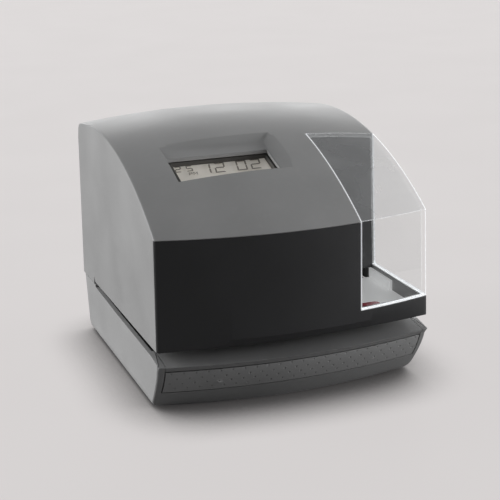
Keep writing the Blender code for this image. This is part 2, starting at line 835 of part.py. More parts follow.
def make_base_shell(material):
    obj = base_solid("base_shell", PARTS)
    groove_z = LIP_Z - LIP_FACE
    cut(obj, chin_region("chin_seat_cutter", GAP, CUTTERS))
    pocket = box("bar_pocket_cutter", (-SEAM_X - GAP, SEAM_X + GAP), (-BACK_Y - OVERRUN, POCKET_Y),
                 (BAR_BOTTOM_Z - BAR_LOWER_GAP - GAP, BASE_TOP_Z + OVERRUN), CUTTERS)
    lip_seat = box("lip_seat_cutter", (-SEAM_X - GAP, SEAM_X + GAP),
                   (-BACK_Y - OVERRUN, LIP_REAR_Y + GAP), (groove_z - GAP, BASE_TOP_Z + OVERRUN), CUTTERS)
    seat_z = APRON_Z - THROAT_PLATE - GAP
    plate_seat = box("throat_seat_cutter", (-THROAT_PLATE_HALF - GAP, THROAT_PLATE_HALF + GAP),
                     (LIP_REAR_Y - GAP, THROAT_END_Y - THROAT_NOTCH), (seat_z, BASE_TOP_Z + OVERRUN),
                     CUTTERS)
    cut(obj, pocket, lip_seat, plate_seat)
    cavity_half = HALF_WIDTH - BASE_WALL * 2
    cavity = box("base_cavity_cutter", (-cavity_half, cavity_half),
                 (POCKET_Y + BASE_WALL, BACK_Y - BASE_WALL),
                 (BASE_EDGE_RADIUS + BASE_RIM_Z, BASE_TOP_Z - BASE_WALL), CUTTERS)
    floor_levels = (BASE_RIM_Z - SHORT_OVERRUN, BASE_RIM_Z + BASE_EDGE_RADIUS / 2,
                    BASE_RIM_Z + BASE_EDGE_RADIUS * 1.5)
    opening = loft("base_opening_cutter", [bottom_opening(z) for z in floor_levels], CUTTERS)
    cut(obj, cavity, opening)
    middle_z = (BAR_TOP_Z + BAR_BOTTOM_Z) / 2
    for side in (-1, 1):
        cut(obj, cylinder("bar_guide_hole_cutter", BAR_GUIDE_RADIUS + BAR_GUIDE_CLEARANCE,
                          (POCKET_Y - SHORT_OVERRUN, POCKET_Y + BASE_WALL + SHORT_OVERRUN),
                          (side * BAR_GUIDE_X, middle_z), "Y", CUTTERS, SMALL_SIDES))
        for y in (BOSS_FRONT_Y, BOSS_REAR_Y):
            foot_z = BASE_RIM_Z + RIM_LEDGE + BOTTOM_PLATE + GAP
            join(obj, cylinder("base_boss_tool", BOSS_RADIUS, (foot_z, foot_z + BOSS_HEIGHT),
                               (side * BOSS_X, y), "Z", CUTTERS, SMALL_SIDES))
    cut(obj, cylinder("inlet_hole_cutter", INLET_BARREL_RADIUS + GAP,
                      (BACK_Y - BASE_WALL - SHORT_OVERRUN, BACK_Y + OVERRUN), (INLET_X, INLET_Z), "Y",
                      CUTTERS, ROUND_SIDES))
    return paint(obj, material)


def bottom_opening(z):
    half = BOTTOM_PLATE_HALF + GAP
    front = BOTTOM_PLATE_FRONT_Y - GAP
    rear = BOTTOM_PLATE_REAR_Y + GAP
    return [Vector((half, rear, z)), Vector((half, front, z)), Vector((-half, front, z)),
            Vector((-half, rear, z))]


def keyhole_outline(x):
    """A round head with a narrower slot that runs up from it, as for hanging on two screws."""
    points = []
    half = KEYHOLE_SLOT / 2
    limit = math.acos(half / KEYHOLE_RADIUS)
    for turn in spread(math.pi - limit, math.tau + limit, SMALL_SIDES):
        points.append((x + KEYHOLE_RADIUS * math.cos(turn), KEYHOLE_Y + KEYHOLE_RADIUS * math.sin(turn)))
    for turn in spread(0, math.pi, SMALL_SIDES // 2):
        points.append((x + half * math.cos(turn), KEYHOLE_Y + KEYHOLE_LENGTH + half * math.sin(turn)))
    return points


def make_bottom_plate(material):
    low = BASE_RIM_Z + RIM_LEDGE
    obj = box("bottom_plate", (-BOTTOM_PLATE_HALF, BOTTOM_PLATE_HALF),
              (BOTTOM_PLATE_FRONT_Y, BOTTOM_PLATE_REAR_Y), (low, low + BOTTOM_PLATE), PARTS)
    for side in (-1, 1):
        cut(obj, plate("keyhole_cutter", keyhole_outline(side * KEYHOLE_X),
                       (low - BOTTOM_PLATE, low + BOTTOM_PLATE * 2), "Z", CUTTERS))
    return paint(obj, material)


def make_rubber_feet(material):
    top = BASE_RIM_Z + RIM_LEDGE - GAP
    spots = [(x, y) for x in (-FOOT_X, FOOT_X) for y in (FOOT_FRONT_Y, FOOT_REAR_Y)]
    for number, spot in enumerate(spots, 1):
        paint(cylinder(f"rubber_foot_{number}", FOOT_RADIUS, (0, top), spot, "Z", PARTS, ROUND_SIDES),
              material)


def make_throat_plate(material):
    top = APRON_Z
    obj = box("throat_plate", (-THROAT_PLATE_HALF, THROAT_PLATE_HALF),
              (LIP_REAR_Y + GAP, THROAT_END_Y - THROAT_NOTCH - GAP), (top - THROAT_PLATE, top), PARTS)
    width, depth, height = PLATEN_SIZE
    seat_size = (width + GAP * 2, depth + GAP * 2, (height - PLATEN_PROUD + GAP) * 2)
    cut(obj, centred_box("platen_seat_cutter", seat_size, (PLATEN_X, PRINT_LINE_Y, top), CUTTERS))
    return paint(obj, material)


def make_platen(material):
    width, depth, height = PLATEN_SIZE
    top = APRON_Z + PLATEN_PROUD
    obj = box("platen", (PLATEN_X - width / 2, PLATEN_X + width / 2),
              (PRINT_LINE_Y - depth / 2, PRINT_LINE_Y + depth / 2), (top - height, top), PARTS)
    return paint(obj, material)


def make_power_board(material):
    width, depth, height = POWER_BOARD
    centre_x, centre_y = POWER_BOARD_CENTRE
    obj = centred_box("power_board", POWER_BOARD, (centre_x, centre_y, POWER_BOARD_Z + height / 2), PARTS)
    top = POWER_BOARD_Z + height
    plate_top = BASE_RIM_Z + RIM_LEDGE + BOTTOM_PLATE
    for side in (-1, 1):
        for end in (-1, 1):
            spot = (centre_x + side * (width / 2 - STANDOFF_INSET),
                    centre_y + end * (depth / 2 - STANDOFF_INSET))
            join(obj, cylinder("standoff_tool", STANDOFF_RADIUS, (plate_top + GAP, top - height / 2),
                               spot, "Z", CUTTERS, SMALL_SIDES))
    for index in range(CAPACITOR_COUNT):
        spot = (centre_x - width / 4 + index * CAPACITOR_PITCH, centre_y)
        join(obj, cylinder("capacitor_tool", CAPACITOR_RADIUS, (top - height / 2, top + CAPACITOR_HEIGHT),
                           spot, "Z", CUTTERS, SMALL_SIDES))
    regulator = centred_box("regulator_tool", REGULATOR_SIZE,
                            (centre_x + width / 4, centre_y, top + REGULATOR_SIZE[2] / 2 - height / 2),
                            CUTTERS)
    join(obj, regulator)
    return paint(obj, material)


def make_backup_battery(material):
    plate_top = BASE_RIM_Z + RIM_LEDGE + BOTTOM_PLATE
    x, y = BATTERY_CENTRE
    obj = cylinder("backup_battery", BATTERY_RADIUS, (y - BATTERY_LENGTH / 2, y + BATTERY_LENGTH / 2),
                   (x, plate_top + GAP + BATTERY_RADIUS), "Y", PARTS, ROUND_SIDES)
    return paint(obj, material)


def make_dc_inlet(material):
    width, depth, height = INLET_BODY
    inner = BACK_Y - BASE_WALL - GAP
    outer = BACK_Y - BASE_TAPER - INLET_SETBACK
    obj = box("dc_inlet", (INLET_X - width / 2, INLET_X + width / 2), (inner - depth, inner),
              (INLET_Z - height / 2, INLET_Z + height / 2), PARTS)
    join(obj, cylinder("inlet_barrel_tool", INLET_BARREL_RADIUS, (inner - depth / 2, outer),
                       (INLET_X, INLET_Z), "Y", CUTTERS, ROUND_SIDES))
    cut(obj, cylinder("inlet_bore_cutter", INLET_BORE_RADIUS, (outer - INLET_BORE_DEPTH, outer + OVERRUN),
                      (INLET_X, INLET_Z), "Y", CUTTERS, ROUND_SIDES))
    return paint(obj, material)


# Cover pieces


def panel_region(name, extra, collection):
    """The space of the dark front panel: it thins out at the crease and at both sides."""
    last = CREASE_Z - GAP * 2 + extra
    levels = [THROAT_CEILING_Z - OVERRUN, THROAT_CEILING_Z, THROAT_CEILING_Z + SKIRT_BAND,
              (THROAT_CEILING_Z + last) / 2, last - PANEL_THICKNESS, last]

    def level_half(z):
        return cover_half_width(max(z, THROAT_CEILING_Z))

    def level_y(z, x):
        half = cover_half_width(max(z, THROAT_CEILING_Z))
        return CORNER_Y - front_bow(z) * (1 - (x / half) ** 2)

    def level_thickness(z):
        return GAP if z >= last else PANEL_THICKNESS

    return front_region(name, levels, level_half, level_y, level_thickness, extra, collection)


def window_box(name, extra, collection):
    return box(name, (WINDOW_LEFT_X - extra, HALF_WIDTH + OVERRUN),
               (-BACK_Y - OVERRUN, WINDOW_REAR_Y + extra), (WINDOW_SILL_Z - extra, HEIGHT + OVERRUN),
               collection)


def floor_z(y):
    return RECESS_FLOOR_Z + (y - RECESS_FLOOR_FRONT_Y) * math.tan(RECESS_TILT)


def recess_loft(name, margin, collection):
    """The recess as a loft from its tilted floor to a flared rim above the slope."""
    left = RECESS_FLOOR_LEFT_X - margin
    right = RECESS_FLOOR_RIGHT_X + margin
    front = RECESS_FLOOR_FRONT_Y - margin
    rear = RECESS_FLOOR_REAR_Y + margin
    corners = ((left, front), (right, front), (right, rear), (left, rear))
    floor = [Vector((x, y, floor_z(y) - margin)) for x, y in corners]
    rim_left = left - RECESS_FLARE_LEFT
    rim_right = right + RECESS_FLARE_RIGHT
    rim_front = front - RECESS_FLARE_FRONT
    rim_rear = rear + RECESS_FLARE_REAR
    corners = ((rim_left, rim_front), (rim_right, rim_front), (rim_right, rim_rear), (rim_left, rim_rear))
    rim = [Vector((x, y, floor_z(y) + RECESS_RISE)) for x, y in corners]
    return loft(name, [floor, rim], collection)


def make_cover_shell(material):
    obj = outer_cover("cover_shell", PARTS)
    inside = cover_solid("cover_inside_cutter", PANEL_THICKNESS + GAP + COVER_WALL, COVER_WALL,
                         COVER_WALL, BASE_TOP_Z - OVERRUN, CUTTERS)
    cut(inside, recess_loft("recess_wall_tool", RECESS_WALL, CUTTERS))
    cut(obj, inside)
    cut(obj, panel_region("panel_seat_cutter", GAP, CUTTERS))
    cut(obj, window_box("window_seat_cutter", GAP, CUTTERS))
    cut(obj, recess_loft("recess_cutter", 0, CUTTERS))
    cut(obj, box("display_opening_cutter", (DISPLAY_LEFT_X, DISPLAY_RIGHT_X),
                 (DISPLAY_FRONT_Y, DISPLAY_REAR_Y), (RECESS_FLOOR_Z - OVERRUN, HEIGHT + OVERRUN),
                 CUTTERS))
    cut(obj, skirt_cutter())
    cut(obj, cylinder("lock_hole_cutter", LOCK_HOUSING_RADIUS + GAP,
                      (HALF_WIDTH - COVER_WALL * 3, HALF_WIDTH + OVERRUN), (LOCK_Y, LOCK_Z), "X", CUTTERS,
                      ROUND_SIDES))
    return paint(obj, material)


def skirt_cutter():
    """Lifts the cover's lower edge clear of the throat, with a small notch at its rear end."""
    low = BASE_TOP_Z - OVERRUN
    outline = (
        (-BACK_Y - OVERRUN, low),
        (THROAT_END_Y, low),
        (THROAT_END_Y, THROAT_CEILING_Z + THROAT_NOTCH),
        (THROAT_END_Y - THROAT_NOTCH, THROAT_CEILING_Z),
        (-BACK_Y - OVERRUN, THROAT_CEILING_Z),
    )
    reach = HALF_WIDTH + OVERRUN
    return plate("skirt_cutter", outline, (-reach, reach), "X", CUTTERS)


def make_front_panel(material):
    obj = outer_cover("front_panel", PARTS)
    keep(obj, panel_region("panel_region", 0, CUTTERS))
    cut(obj, window_box("panel_window_cutter", GAP, CUTTERS))
    cut(obj, skirt_cutter())
    return paint(obj, material)


def make_window(material):
    obj = outer_cover("window", PARTS)
    cut(obj, cover_solid("window_inside_cutter", WINDOW_THICKNESS, WINDOW_THICKNESS, WINDOW_THICKNESS,
                         BASE_TOP_Z - OVERRUN, CUTTERS))
    keep(obj, window_box("window_region", 0, CUTTERS))
    return paint(obj, material)


def make_chamber_wall(material):
    left = WINDOW_LEFT_X - CHAMBER_WALL / 2
    front = -BACK_Y
    obj = box("chamber_wall", (left, HALF_WIDTH), (WINDOW_REAR_Y - CHAMBER_WALL, WINDOW_REAR_Y),
              (CHAMBER_WALL_BOTTOM_Z, HEIGHT), PARTS)
    join(obj, box("chamber_side_tool", (left, left + CHAMBER_WALL), (front, WINDOW_REAR_Y),
                  (CHAMBER_WALL_BOTTOM_Z, HEIGHT), CUTTERS))
    inset = COVER_WALL + GAP
    keep(obj, cover_solid("chamber_region", PANEL_THICKNESS + COVER_WALL + GAP * 2, inset, inset,
                          BASE_TOP_Z - OVERRUN, CUTTERS))
    return paint(obj, material)


# Print unit


def make_chassis_frame(material):
    foot_z = BASE_TOP_Z + GAP
    deck_top = THROAT_CEILING_Z + DECK_THICKNESS + GAP * 2
    outline = (
        (FRAME_FRONT_Y, deck_top),
        (FRAME_FOOT_Y, deck_top),
        (FRAME_FOOT_Y, foot_z),
        (FRAME_REAR_Y, foot_z),
        (FRAME_REAR_Y, FRAME_REAR_Z),
        (FRAME_KNEE_Y, FRAME_KNEE_Z),
        (FRAME_FRONT_Y, FRAME_FRONT_Z),
    )
    obj = plate("chassis_frame", outline, (FRAME_LEFT_X, FRAME_LEFT_X + FRAME_SHEET), "X", PARTS)
    right = plate("frame_side_tool", outline, (FRAME_RIGHT_X - FRAME_SHEET, FRAME_RIGHT_X), "X", CUTTERS)
    rear = box("frame_rear_tool", (FRAME_LEFT_X, FRAME_RIGHT_X),
               (FRAME_REAR_Y - FRAME_SHEET, FRAME_REAR_Y), (foot_z, FRAME_REAR_Z), CUTTERS)
    foot = box("frame_foot_tool", (FRAME_LEFT_X, FRAME_RIGHT_X), (FRAME_FOOT_Y, FRAME_REAR_Y),
               (foot_z, foot_z + FRAME_SHEET), CUTTERS)
    join(obj, right, rear, foot)
    return paint(obj, material)


def make_deck_plate(material):
    points = [(DECK_HALF, DECK_REAR_Y)]
    for x in spread(DECK_HALF, -DECK_HALF, STATION_COUNT // 2 + 1):
        points.append((x, DECK_FRONT_Y - DECK_FRONT_BOW * (1 - (x / DECK_HALF) ** 2)))
    points.append((-DECK_HALF, DECK_REAR_Y))
    low = THROAT_CEILING_Z + GAP
    obj = plate("deck_plate", points, (low, low + DECK_THICKNESS), "Z", PARTS)
    aperture = centred_box("aperture_cutter", (APERTURE_WIDTH, APERTURE_DEPTH, OVERRUN),
                           (PLATEN_X, PRINT_LINE_Y, low), CUTTERS)
    cut(obj, aperture)
    return paint(obj, material)


def make_chamber_tray(material):
    left = WINDOW_LEFT_X + CHAMBER_WALL + GAP
    rear = WINDOW_REAR_Y - CHAMBER_WALL - GAP
    right = TRAY_RIB_X + TRAY_RIB
    points = [(right, rear), (right, DECK_FRONT_Y)]
    for x in spread(right, left, STATION_COUNT // 4 + 1)[1:]:
        points.append((x, DECK_FRONT_Y - DECK_FRONT_BOW * (1 - (x / DECK_HALF) ** 2)))
    points.append((left, rear))
    obj = plate("chamber_tray", points, (TRAY_Z, TRAY_Z + TRAY_THICKNESS), "Z", PARTS)
    rib = box("tray_rib_tool", (TRAY_RIB_X, right), (TRAY_RIB_FRONT_Y, rear),
              (TRAY_Z + TRAY_THICKNESS / 2, TRAY_RIB_TOP_Z), CUTTERS)
    join(obj, rib)
    return paint(obj, material)


def make_print_pointer(material):
    left = POINTER_TIP_X - POINTER_LENGTH
    half = POINTER_WIDTH / 2
    centre = POINTER_TIP_X - half
    points = [(left, POINTER_Y - half)]
    for turn in spread(-math.pi / 2, math.pi / 2, SMALL_SIDES // 2 + 1):
        points.append((centre + half * math.cos(turn), POINTER_Y + half * math.sin(turn)))
    points.append((left, POINTER_Y + half))
    obj = plate("print_pointer", points, (POINTER_Z - POINTER_THICKNESS, POINTER_Z), "Z", PARTS)
    stem = box("pointer_stem_tool", (left, left + POINTER_STEM), (POINTER_Y - half, POINTER_Y + half),
               (TRAY_Z + TRAY_THICKNESS + GAP, POINTER_Z - POINTER_THICKNESS / 2), CUTTERS)
    join(obj, stem)
    return paint(obj, material)


def make_guide_rods(material):
    span = (FRAME_LEFT_X + FRAME_SHEET + GAP, FRAME_RIGHT_X - FRAME_SHEET - GAP)
    rods = {"guide_rod_front": (ROD_FRONT_Y, ROD_FRONT_Z), "guide_rod_rear": (ROD_REAR_Y, ROD_REAR_Z)}
    for name, spot in rods.items():
        paint(cylinder(name, ROD_RADIUS, span, spot, "X", PARTS, ROUND_SIDES), material)


def make_carriage(material):
    outline = (
        (CARRIAGE_FRONT_Y, CARRIAGE_BOTTOM_Z),
        (ROD_REAR_Y, CARRIAGE_BOTTOM_Z),
        (CARRIAGE_REAR_Y, CARRIAGE_SLOPE_Z),
        (CARRIAGE_REAR_Y, CARRIAGE_TOP_Z),
        (ROD_REAR_Y - ROD_RADIUS * 2, CARRIAGE_TOP_Z),
        (CARRIAGE_FRONT_Y, CARRIAGE_SLOPE_Z),
    )
    span = (CARRIAGE_START_X, CARRIAGE_START_X + CARRIAGE_WIDTH)
    obj = plate("carriage", outline, span, "X", PARTS)
    middle = sum(span) / 2
    belt_low = MOTOR_Z - pulley_rim() - GAP
    clip = box("belt_clip_tool", (middle - CLIP_WIDTH / 2, middle + CLIP_WIDTH / 2),
               (CARRIAGE_REAR_Y - GAP, PULLEY_MIDDLE_Y + PULLEY_WIDTH / 2), (CARRIAGE_SLOPE_Z, belt_low),
               CUTTERS)
    join(obj, clip)
    wide = (span[0] - OVERRUN, span[1] + OVERRUN)
    bore = ROD_RADIUS + ROD_RUNNING_GAP
    cut(obj, cylinder("front_bore_cutter", bore, wide, (ROD_FRONT_Y, ROD_FRONT_Z), "X", CUTTERS,
                      ROUND_SIDES))
    cut(obj, cylinder("rear_bore_cutter", bore, wide, (ROD_REAR_Y, ROD_REAR_Z), "X", CUTTERS,
                      ROUND_SIDES))
    return paint(obj, material)


def make_print_head(material):
    middle = CARRIAGE_START_X + CARRIAGE_WIDTH / 2
    half = HEAD_WIDTH / 2
    rear = CARRIAGE_FRONT_Y - GAP
    obj = box("print_head", (middle - half, middle + half), (HEAD_FRONT_Y, rear),
              (HEAD_BOTTOM_Z, HEAD_TOP_Z), PARTS)
    nose_top = [Vector((middle + x, y, HEAD_BOTTOM_Z + FIN_DEPTH)) for x, y in (
        (-half / 2, HEAD_FRONT_Y + GAP), (half / 2, HEAD_FRONT_Y + GAP), (half / 2, rear - GAP),
        (-half / 2, rear - GAP))]
    front = PRINT_LINE_Y - NOSE_HALF_DEPTH
    back = PRINT_LINE_Y + NOSE_HALF_DEPTH
    nose_end = [Vector((middle + x, y, NOSE_END_Z)) for x, y in (
        (-half / 3, front), (half / 3, front), (half / 3, back), (-half / 3, back))]
    join(obj, loft("head_nose_tool", [nose_top, nose_end], CUTTERS))
    pitch = HEAD_WIDTH / FIN_COUNT
    for index in range(FIN_COUNT - 1):
        x = middle - half + pitch * (index + 1)
        slot = box("fin_slot_cutter", (x - pitch * FIN_SLOT_SHARE / 2, x + pitch * FIN_SLOT_SHARE / 2),
                   (HEAD_FRONT_Y - OVERRUN, HEAD_FRONT_Y + FIN_DEPTH),
                   (HEAD_BOTTOM_Z + FIN_DEPTH, HEAD_TOP_Z + OVERRUN), CUTTERS)
        cut(obj, slot)
    return paint(obj, material)


def make_ribbon_cassette(material):
    obj = box("ribbon_cassette", (CASSETTE_LEFT_X, CASSETTE_RIGHT_X), (CASSETTE_FRONT_Y, CASSETTE_REAR_Y),
              (CASSETTE_BOTTOM_Z, CASSETTE_TOP_Z), PARTS)
    for near, far in ((CASSETTE_LEFT_X, CASSETTE_LEFT_X + CASSETTE_ARM_WIDTH),
                      (CASSETTE_RIGHT_X - CASSETTE_ARM_WIDTH, CASSETTE_RIGHT_X)):
        join(obj, box("cassette_arm_tool", (near, far), (CASSETTE_ARM_FRONT_Y, CASSETTE_REAR_Y - GAP),
                      (CASSETTE_BOTTOM_Z, CASSETTE_ARM_TOP_Z), CUTTERS))
    cut(obj, cylinder("cassette_bore_cutter", KNOB_STEM_RADIUS + GAP,
                      (CASSETTE_TOP_Z - KNOB_STEM_DEPTH - GAP, CASSETTE_TOP_Z + OVERRUN),
                      (KNOB_X, KNOB_Y), "Z", CUTTERS, ROUND_SIDES))
    return paint(obj, material)


def make_ribbon(material):
    left = CASSETTE_LEFT_X + CASSETTE_ARM_WIDTH + GAP
    right = CASSETTE_RIGHT_X - CASSETTE_ARM_WIDTH - GAP
    obj = box("ribbon", (left, right), (PRINT_LINE_Y - RIBBON_WIDTH / 2, PRINT_LINE_Y + RIBBON_WIDTH / 2),
              (RIBBON_Z, RIBBON_Z + RIBBON_THICKNESS), PARTS)
    return paint(obj, material)


def make_ribbon_knob(material):
    low = CASSETTE_TOP_Z + GAP
    obj = cylinder("ribbon_knob", KNOB_RADIUS, (low, low + KNOB_HEIGHT), (KNOB_X, KNOB_Y), "Z", PARTS,
                   ROUND_SIDES)
    join(obj, cylinder("knob_stem_tool", KNOB_STEM_RADIUS,
                       (CASSETTE_TOP_Z - KNOB_STEM_DEPTH, low + KNOB_HEIGHT / 2), (KNOB_X, KNOB_Y), "Z",
                       CUTTERS, ROUND_SIDES))
    for index in range(KNOB_FLUTES):
        turn = math.tau * index / KNOB_FLUTES
        spot = (KNOB_X + KNOB_RADIUS * math.cos(turn), KNOB_Y + KNOB_RADIUS * math.sin(turn))
        cut(obj, cylinder("knob_flute_cutter", KNOB_FLUTE_RADIUS,
                          (low + KNOB_HEIGHT / 4, low + KNOB_HEIGHT + OVERRUN), spot, "Z", CUTTERS,
                          SMALL_SIDES // 2))
    return paint(obj, material)


def make_motor_plate(material):
    left = FRAME_LEFT_X + FRAME_SHEET + GAP
    right = FRAME_RIGHT_X - FRAME_SHEET - GAP
    obj = box("motor_plate", (left, right), (MOTOR_PLATE_Y, MOTOR_PLATE_Y + FRAME_SHEET),
              (MOTOR_PLATE_BOTTOM_Z, MOTOR_PLATE_TOP_Z), PARTS)
    cut(obj, cylinder("motor_hole_cutter", MOTOR_SHAFT_RADIUS + PULLEY_BORE_GAP,
                      (MOTOR_PLATE_Y - OVERRUN, MOTOR_PLATE_Y + OVERRUN), (MOTOR_X, MOTOR_Z), "Y",
                      CUTTERS, SMALL_SIDES))
    return paint(obj, material)


def make_carriage_motor(material):
    """Only the motor's can and fixed collar; the shaft turns with its pulley."""
    front = MOTOR_PLATE_Y + FRAME_SHEET + GAP
    obj = cylinder("carriage_motor", MOTOR_RADIUS, (front, front + MOTOR_DEPTH), (MOTOR_X, MOTOR_Z), "Y",
                   PARTS, ROUND_SIDES)
    cut(obj, cylinder("motor_bore_cutter", MOTOR_SHAFT_RADIUS + PULLEY_BORE_GAP,
                      (front - OVERRUN, front + MOTOR_DEPTH / 2), (MOTOR_X, MOTOR_Z), "Y", CUTTERS,
                      SMALL_SIDES))
    return paint(obj, material)


def pulley_rim():
    """The flanges end flush with the belt's outer face."""
    return PULLEY_RADIUS + BELT_CLEARANCE + BELT_THICKNESS


def pulley_side():
    """The outer side of a belt pulley, as radius and height from its middle, top to bottom."""
    half = PULLEY_WIDTH / 2
    full = half + PULLEY_FLANGE_THICKNESS
    rim = pulley_rim()
    return [(rim, full), (rim, half), (PULLEY_RADIUS, half), (PULLEY_RADIUS, -half), (rim, -half),
            (rim, -full)]


def make_motor_pulley(material):
    """The pulley and the shaft that it turns with, which runs back into the motor."""
    full = PULLEY_WIDTH / 2 + PULLEY_FLANGE_THICKNESS
    shaft_end = MOTOR_PLATE_Y + FRAME_SHEET + GAP + MOTOR_DEPTH / 4 - PULLEY_MIDDLE_Y
    shaft = [(0, shaft_end), (MOTOR_SHAFT_RADIUS, shaft_end), (MOTOR_SHAFT_RADIUS, full)]
    profile = shaft + pulley_side() + [(0, -full)]
    obj = turned("motor_pulley", profile, (MOTOR_X, PULLEY_MIDDLE_Y, MOTOR_Z), "Y", PARTS, False)
    return paint(obj, material)


def make_idler_pulley(material):
    full = PULLEY_WIDTH / 2 + PULLEY_FLANGE_THICKNESS
    bore = MOTOR_SHAFT_RADIUS + PULLEY_BORE_GAP
    profile = pulley_side() + [(bore, -full), (bore, full)]
    obj = turned("idler_pulley", profile, (IDLER_X, PULLEY_MIDDLE_Y, MOTOR_Z), "Y", PARTS, True)
    return paint(obj, material)


def make_idler_pin(material):
    head = PULLEY_MIDDLE_Y - PULLEY_WIDTH / 2 - PULLEY_FLANGE_THICKNESS - GAP
    obj = cylinder("idler_pin", MOTOR_SHAFT_RADIUS, (head - MOTOR_SHAFT_RADIUS / 2, MOTOR_PLATE_Y - GAP),
                   (IDLER_X, MOTOR_Z), "Y", PARTS, SMALL_SIDES)
    join(obj, cylinder("pin_head_tool", MOTOR_SHAFT_RADIUS * 2, (head - MOTOR_SHAFT_RADIUS, head),
                       (IDLER_X, MOTOR_Z), "Y", CUTTERS, SMALL_SIDES))
    return paint(obj, material)


def belt_loop(radius):
    points = []
    for x, first in ((IDLER_X, -math.pi / 2), (MOTOR_X, math.pi / 2)):
        for turn in spread(first, first + math.pi, BELT_ARC_COUNT):
            points.append((x + radius * math.cos(turn), MOTOR_Z + radius * math.sin(turn)))
    return points


def make_drive_belt(material):
    inner = PULLEY_RADIUS + BELT_CLEARANCE
    loops = [belt_loop(inner + BELT_THICKNESS), belt_loop(inner)]
    half = PULLEY_WIDTH / 2 - BELT_CLEARANCE
    obj = plate("drive_belt", loops, (PULLEY_MIDDLE_Y - half, PULLEY_MIDDLE_Y + half), "Y", PARTS)
    return paint(obj, material)


def make_main_board(material):
    obj = box("main_board", (MAIN_BOARD_X, MAIN_BOARD_X + BOARD_THICKNESS),
              (MAIN_BOARD_FRONT_Y, MAIN_BOARD_REAR_Y), (MAIN_BOARD_BOTTOM_Z, MAIN_BOARD_TOP_Z), PARTS)
    frame_face = FRAME_RIGHT_X + GAP
    for y in (MAIN_BOARD_FRONT_Y + STANDOFF_INSET, MAIN_BOARD_REAR_Y - STANDOFF_INSET):
        for z in (MAIN_BOARD_BOTTOM_Z + STANDOFF_INSET, MAIN_BOARD_TOP_Z - STANDOFF_INSET):
            join(obj, cylinder("board_standoff_tool", STANDOFF_RADIUS,
                               (frame_face, MAIN_BOARD_X + BOARD_THICKNESS / 2), (y, z), "X", CUTTERS,
                               SMALL_SIDES))
    inside = MAIN_BOARD_X + BOARD_THICKNESS / 2
    middle_z = (MAIN_BOARD_BOTTOM_Z + MAIN_BOARD_TOP_Z) / 2
    middle_y = (MAIN_BOARD_FRONT_Y + MAIN_BOARD_REAR_Y) / 2
    for index in range(CHIP_COUNT):
        y = middle_y + (index - (CHIP_COUNT - 1) / 2) * CHIP_PITCH
        join(obj, centred_box("chip_tool", CHIP_SIZE, (inside + CHIP_SIZE[0] / 2, y, middle_z), CUTTERS))
    socket_z = MAIN_BOARD_TOP_Z - STANDOFF_INSET - CONNECTOR_SIZE[2] / 2
    join(obj, centred_box("socket_tool", CONNECTOR_SIZE,
                          (inside + CONNECTOR_SIZE[0] / 2, middle_y, socket_z), CUTTERS))
    return paint(obj, material)


def module_z(y):
    return floor_z(y) - DISPLAY_DROP


def tilted_slab(name, x_span, y_span, top_lift, thickness, collection):
    """A slab that lies parallel to the recess floor, its top a given lift above the display plane."""
    outline = (
        (y_span[0], module_z(y_span[0]) + top_lift),
        (y_span[1], module_z(y_span[1]) + top_lift),
        (y_span[1], module_z(y_span[1]) + top_lift - thickness),
        (y_span[0], module_z(y_span[0]) + top_lift - thickness),
    )
    return plate(name, outline, x_span, "X", collection)


def make_display_module(material):
    obj = tilted_slab("display_module",
                      (DISPLAY_LEFT_X - MODULE_MARGIN / 2, DISPLAY_RIGHT_X + MODULE_MARGIN),
                      (DISPLAY_FRONT_Y, DISPLAY_REAR_Y + MODULE_REAR), 0, MODULE_THICKNESS, PARTS)
    seat = tilted_slab("glass_seat_cutter", (GLASS_LEFT_X - GAP, GLASS_RIGHT_X + GAP),
                       (GLASS_FRONT_Y - GAP, GLASS_REAR_Y + GAP), OVERRUN, OVERRUN + GLASS_SEAT + GAP,
                       CUTTERS)
    cut(obj, seat)
    return paint(obj, material)


def make_display_glass(material):
    obj = tilted_slab("display_glass", (GLASS_LEFT_X, GLASS_RIGHT_X), (GLASS_FRONT_Y, GLASS_REAR_Y),
                      -GLASS_PROUD, GLASS_SEAT - GLASS_PROUD, PARTS)
    return paint(obj, material)


def make_display_bracket(material):
    front = DISPLAY_FRONT_Y
    rear = DISPLAY_REAR_Y + MODULE_REAR
    under = -MODULE_THICKNESS - GAP
    sheet = BRACKET_SHEET
    plate_y = MOTOR_PLATE_Y
    leg_z = MOTOR_PLATE_TOP_Z + GAP
    shelf_y = BRACKET_SHELF_REAR_Y
    outline = (
        (front, module_z(front) + under),
        (rear, module_z(rear) + under),
        (rear, BRACKET_SHELF_Z),
        (shelf_y, BRACKET_SHELF_Z),
        (shelf_y, BRACKET_SHELF_Z - sheet),
        (plate_y + FRAME_SHEET, BRACKET_SHELF_Z - sheet),
        (plate_y + FRAME_SHEET, leg_z),
        (plate_y, leg_z),
        (plate_y, BRACKET_SHELF_Z - sheet),
        (rear - sheet, BRACKET_SHELF_Z - sheet),
        (rear - sheet, module_z(rear - sheet) + under - sheet),
        (front, module_z(front) + under - sheet),
    )
    obj = plate("display_bracket", outline, (BRACKET_LEFT_X, BRACKET_RIGHT_X), "X", PARTS)
    return paint(obj, material)


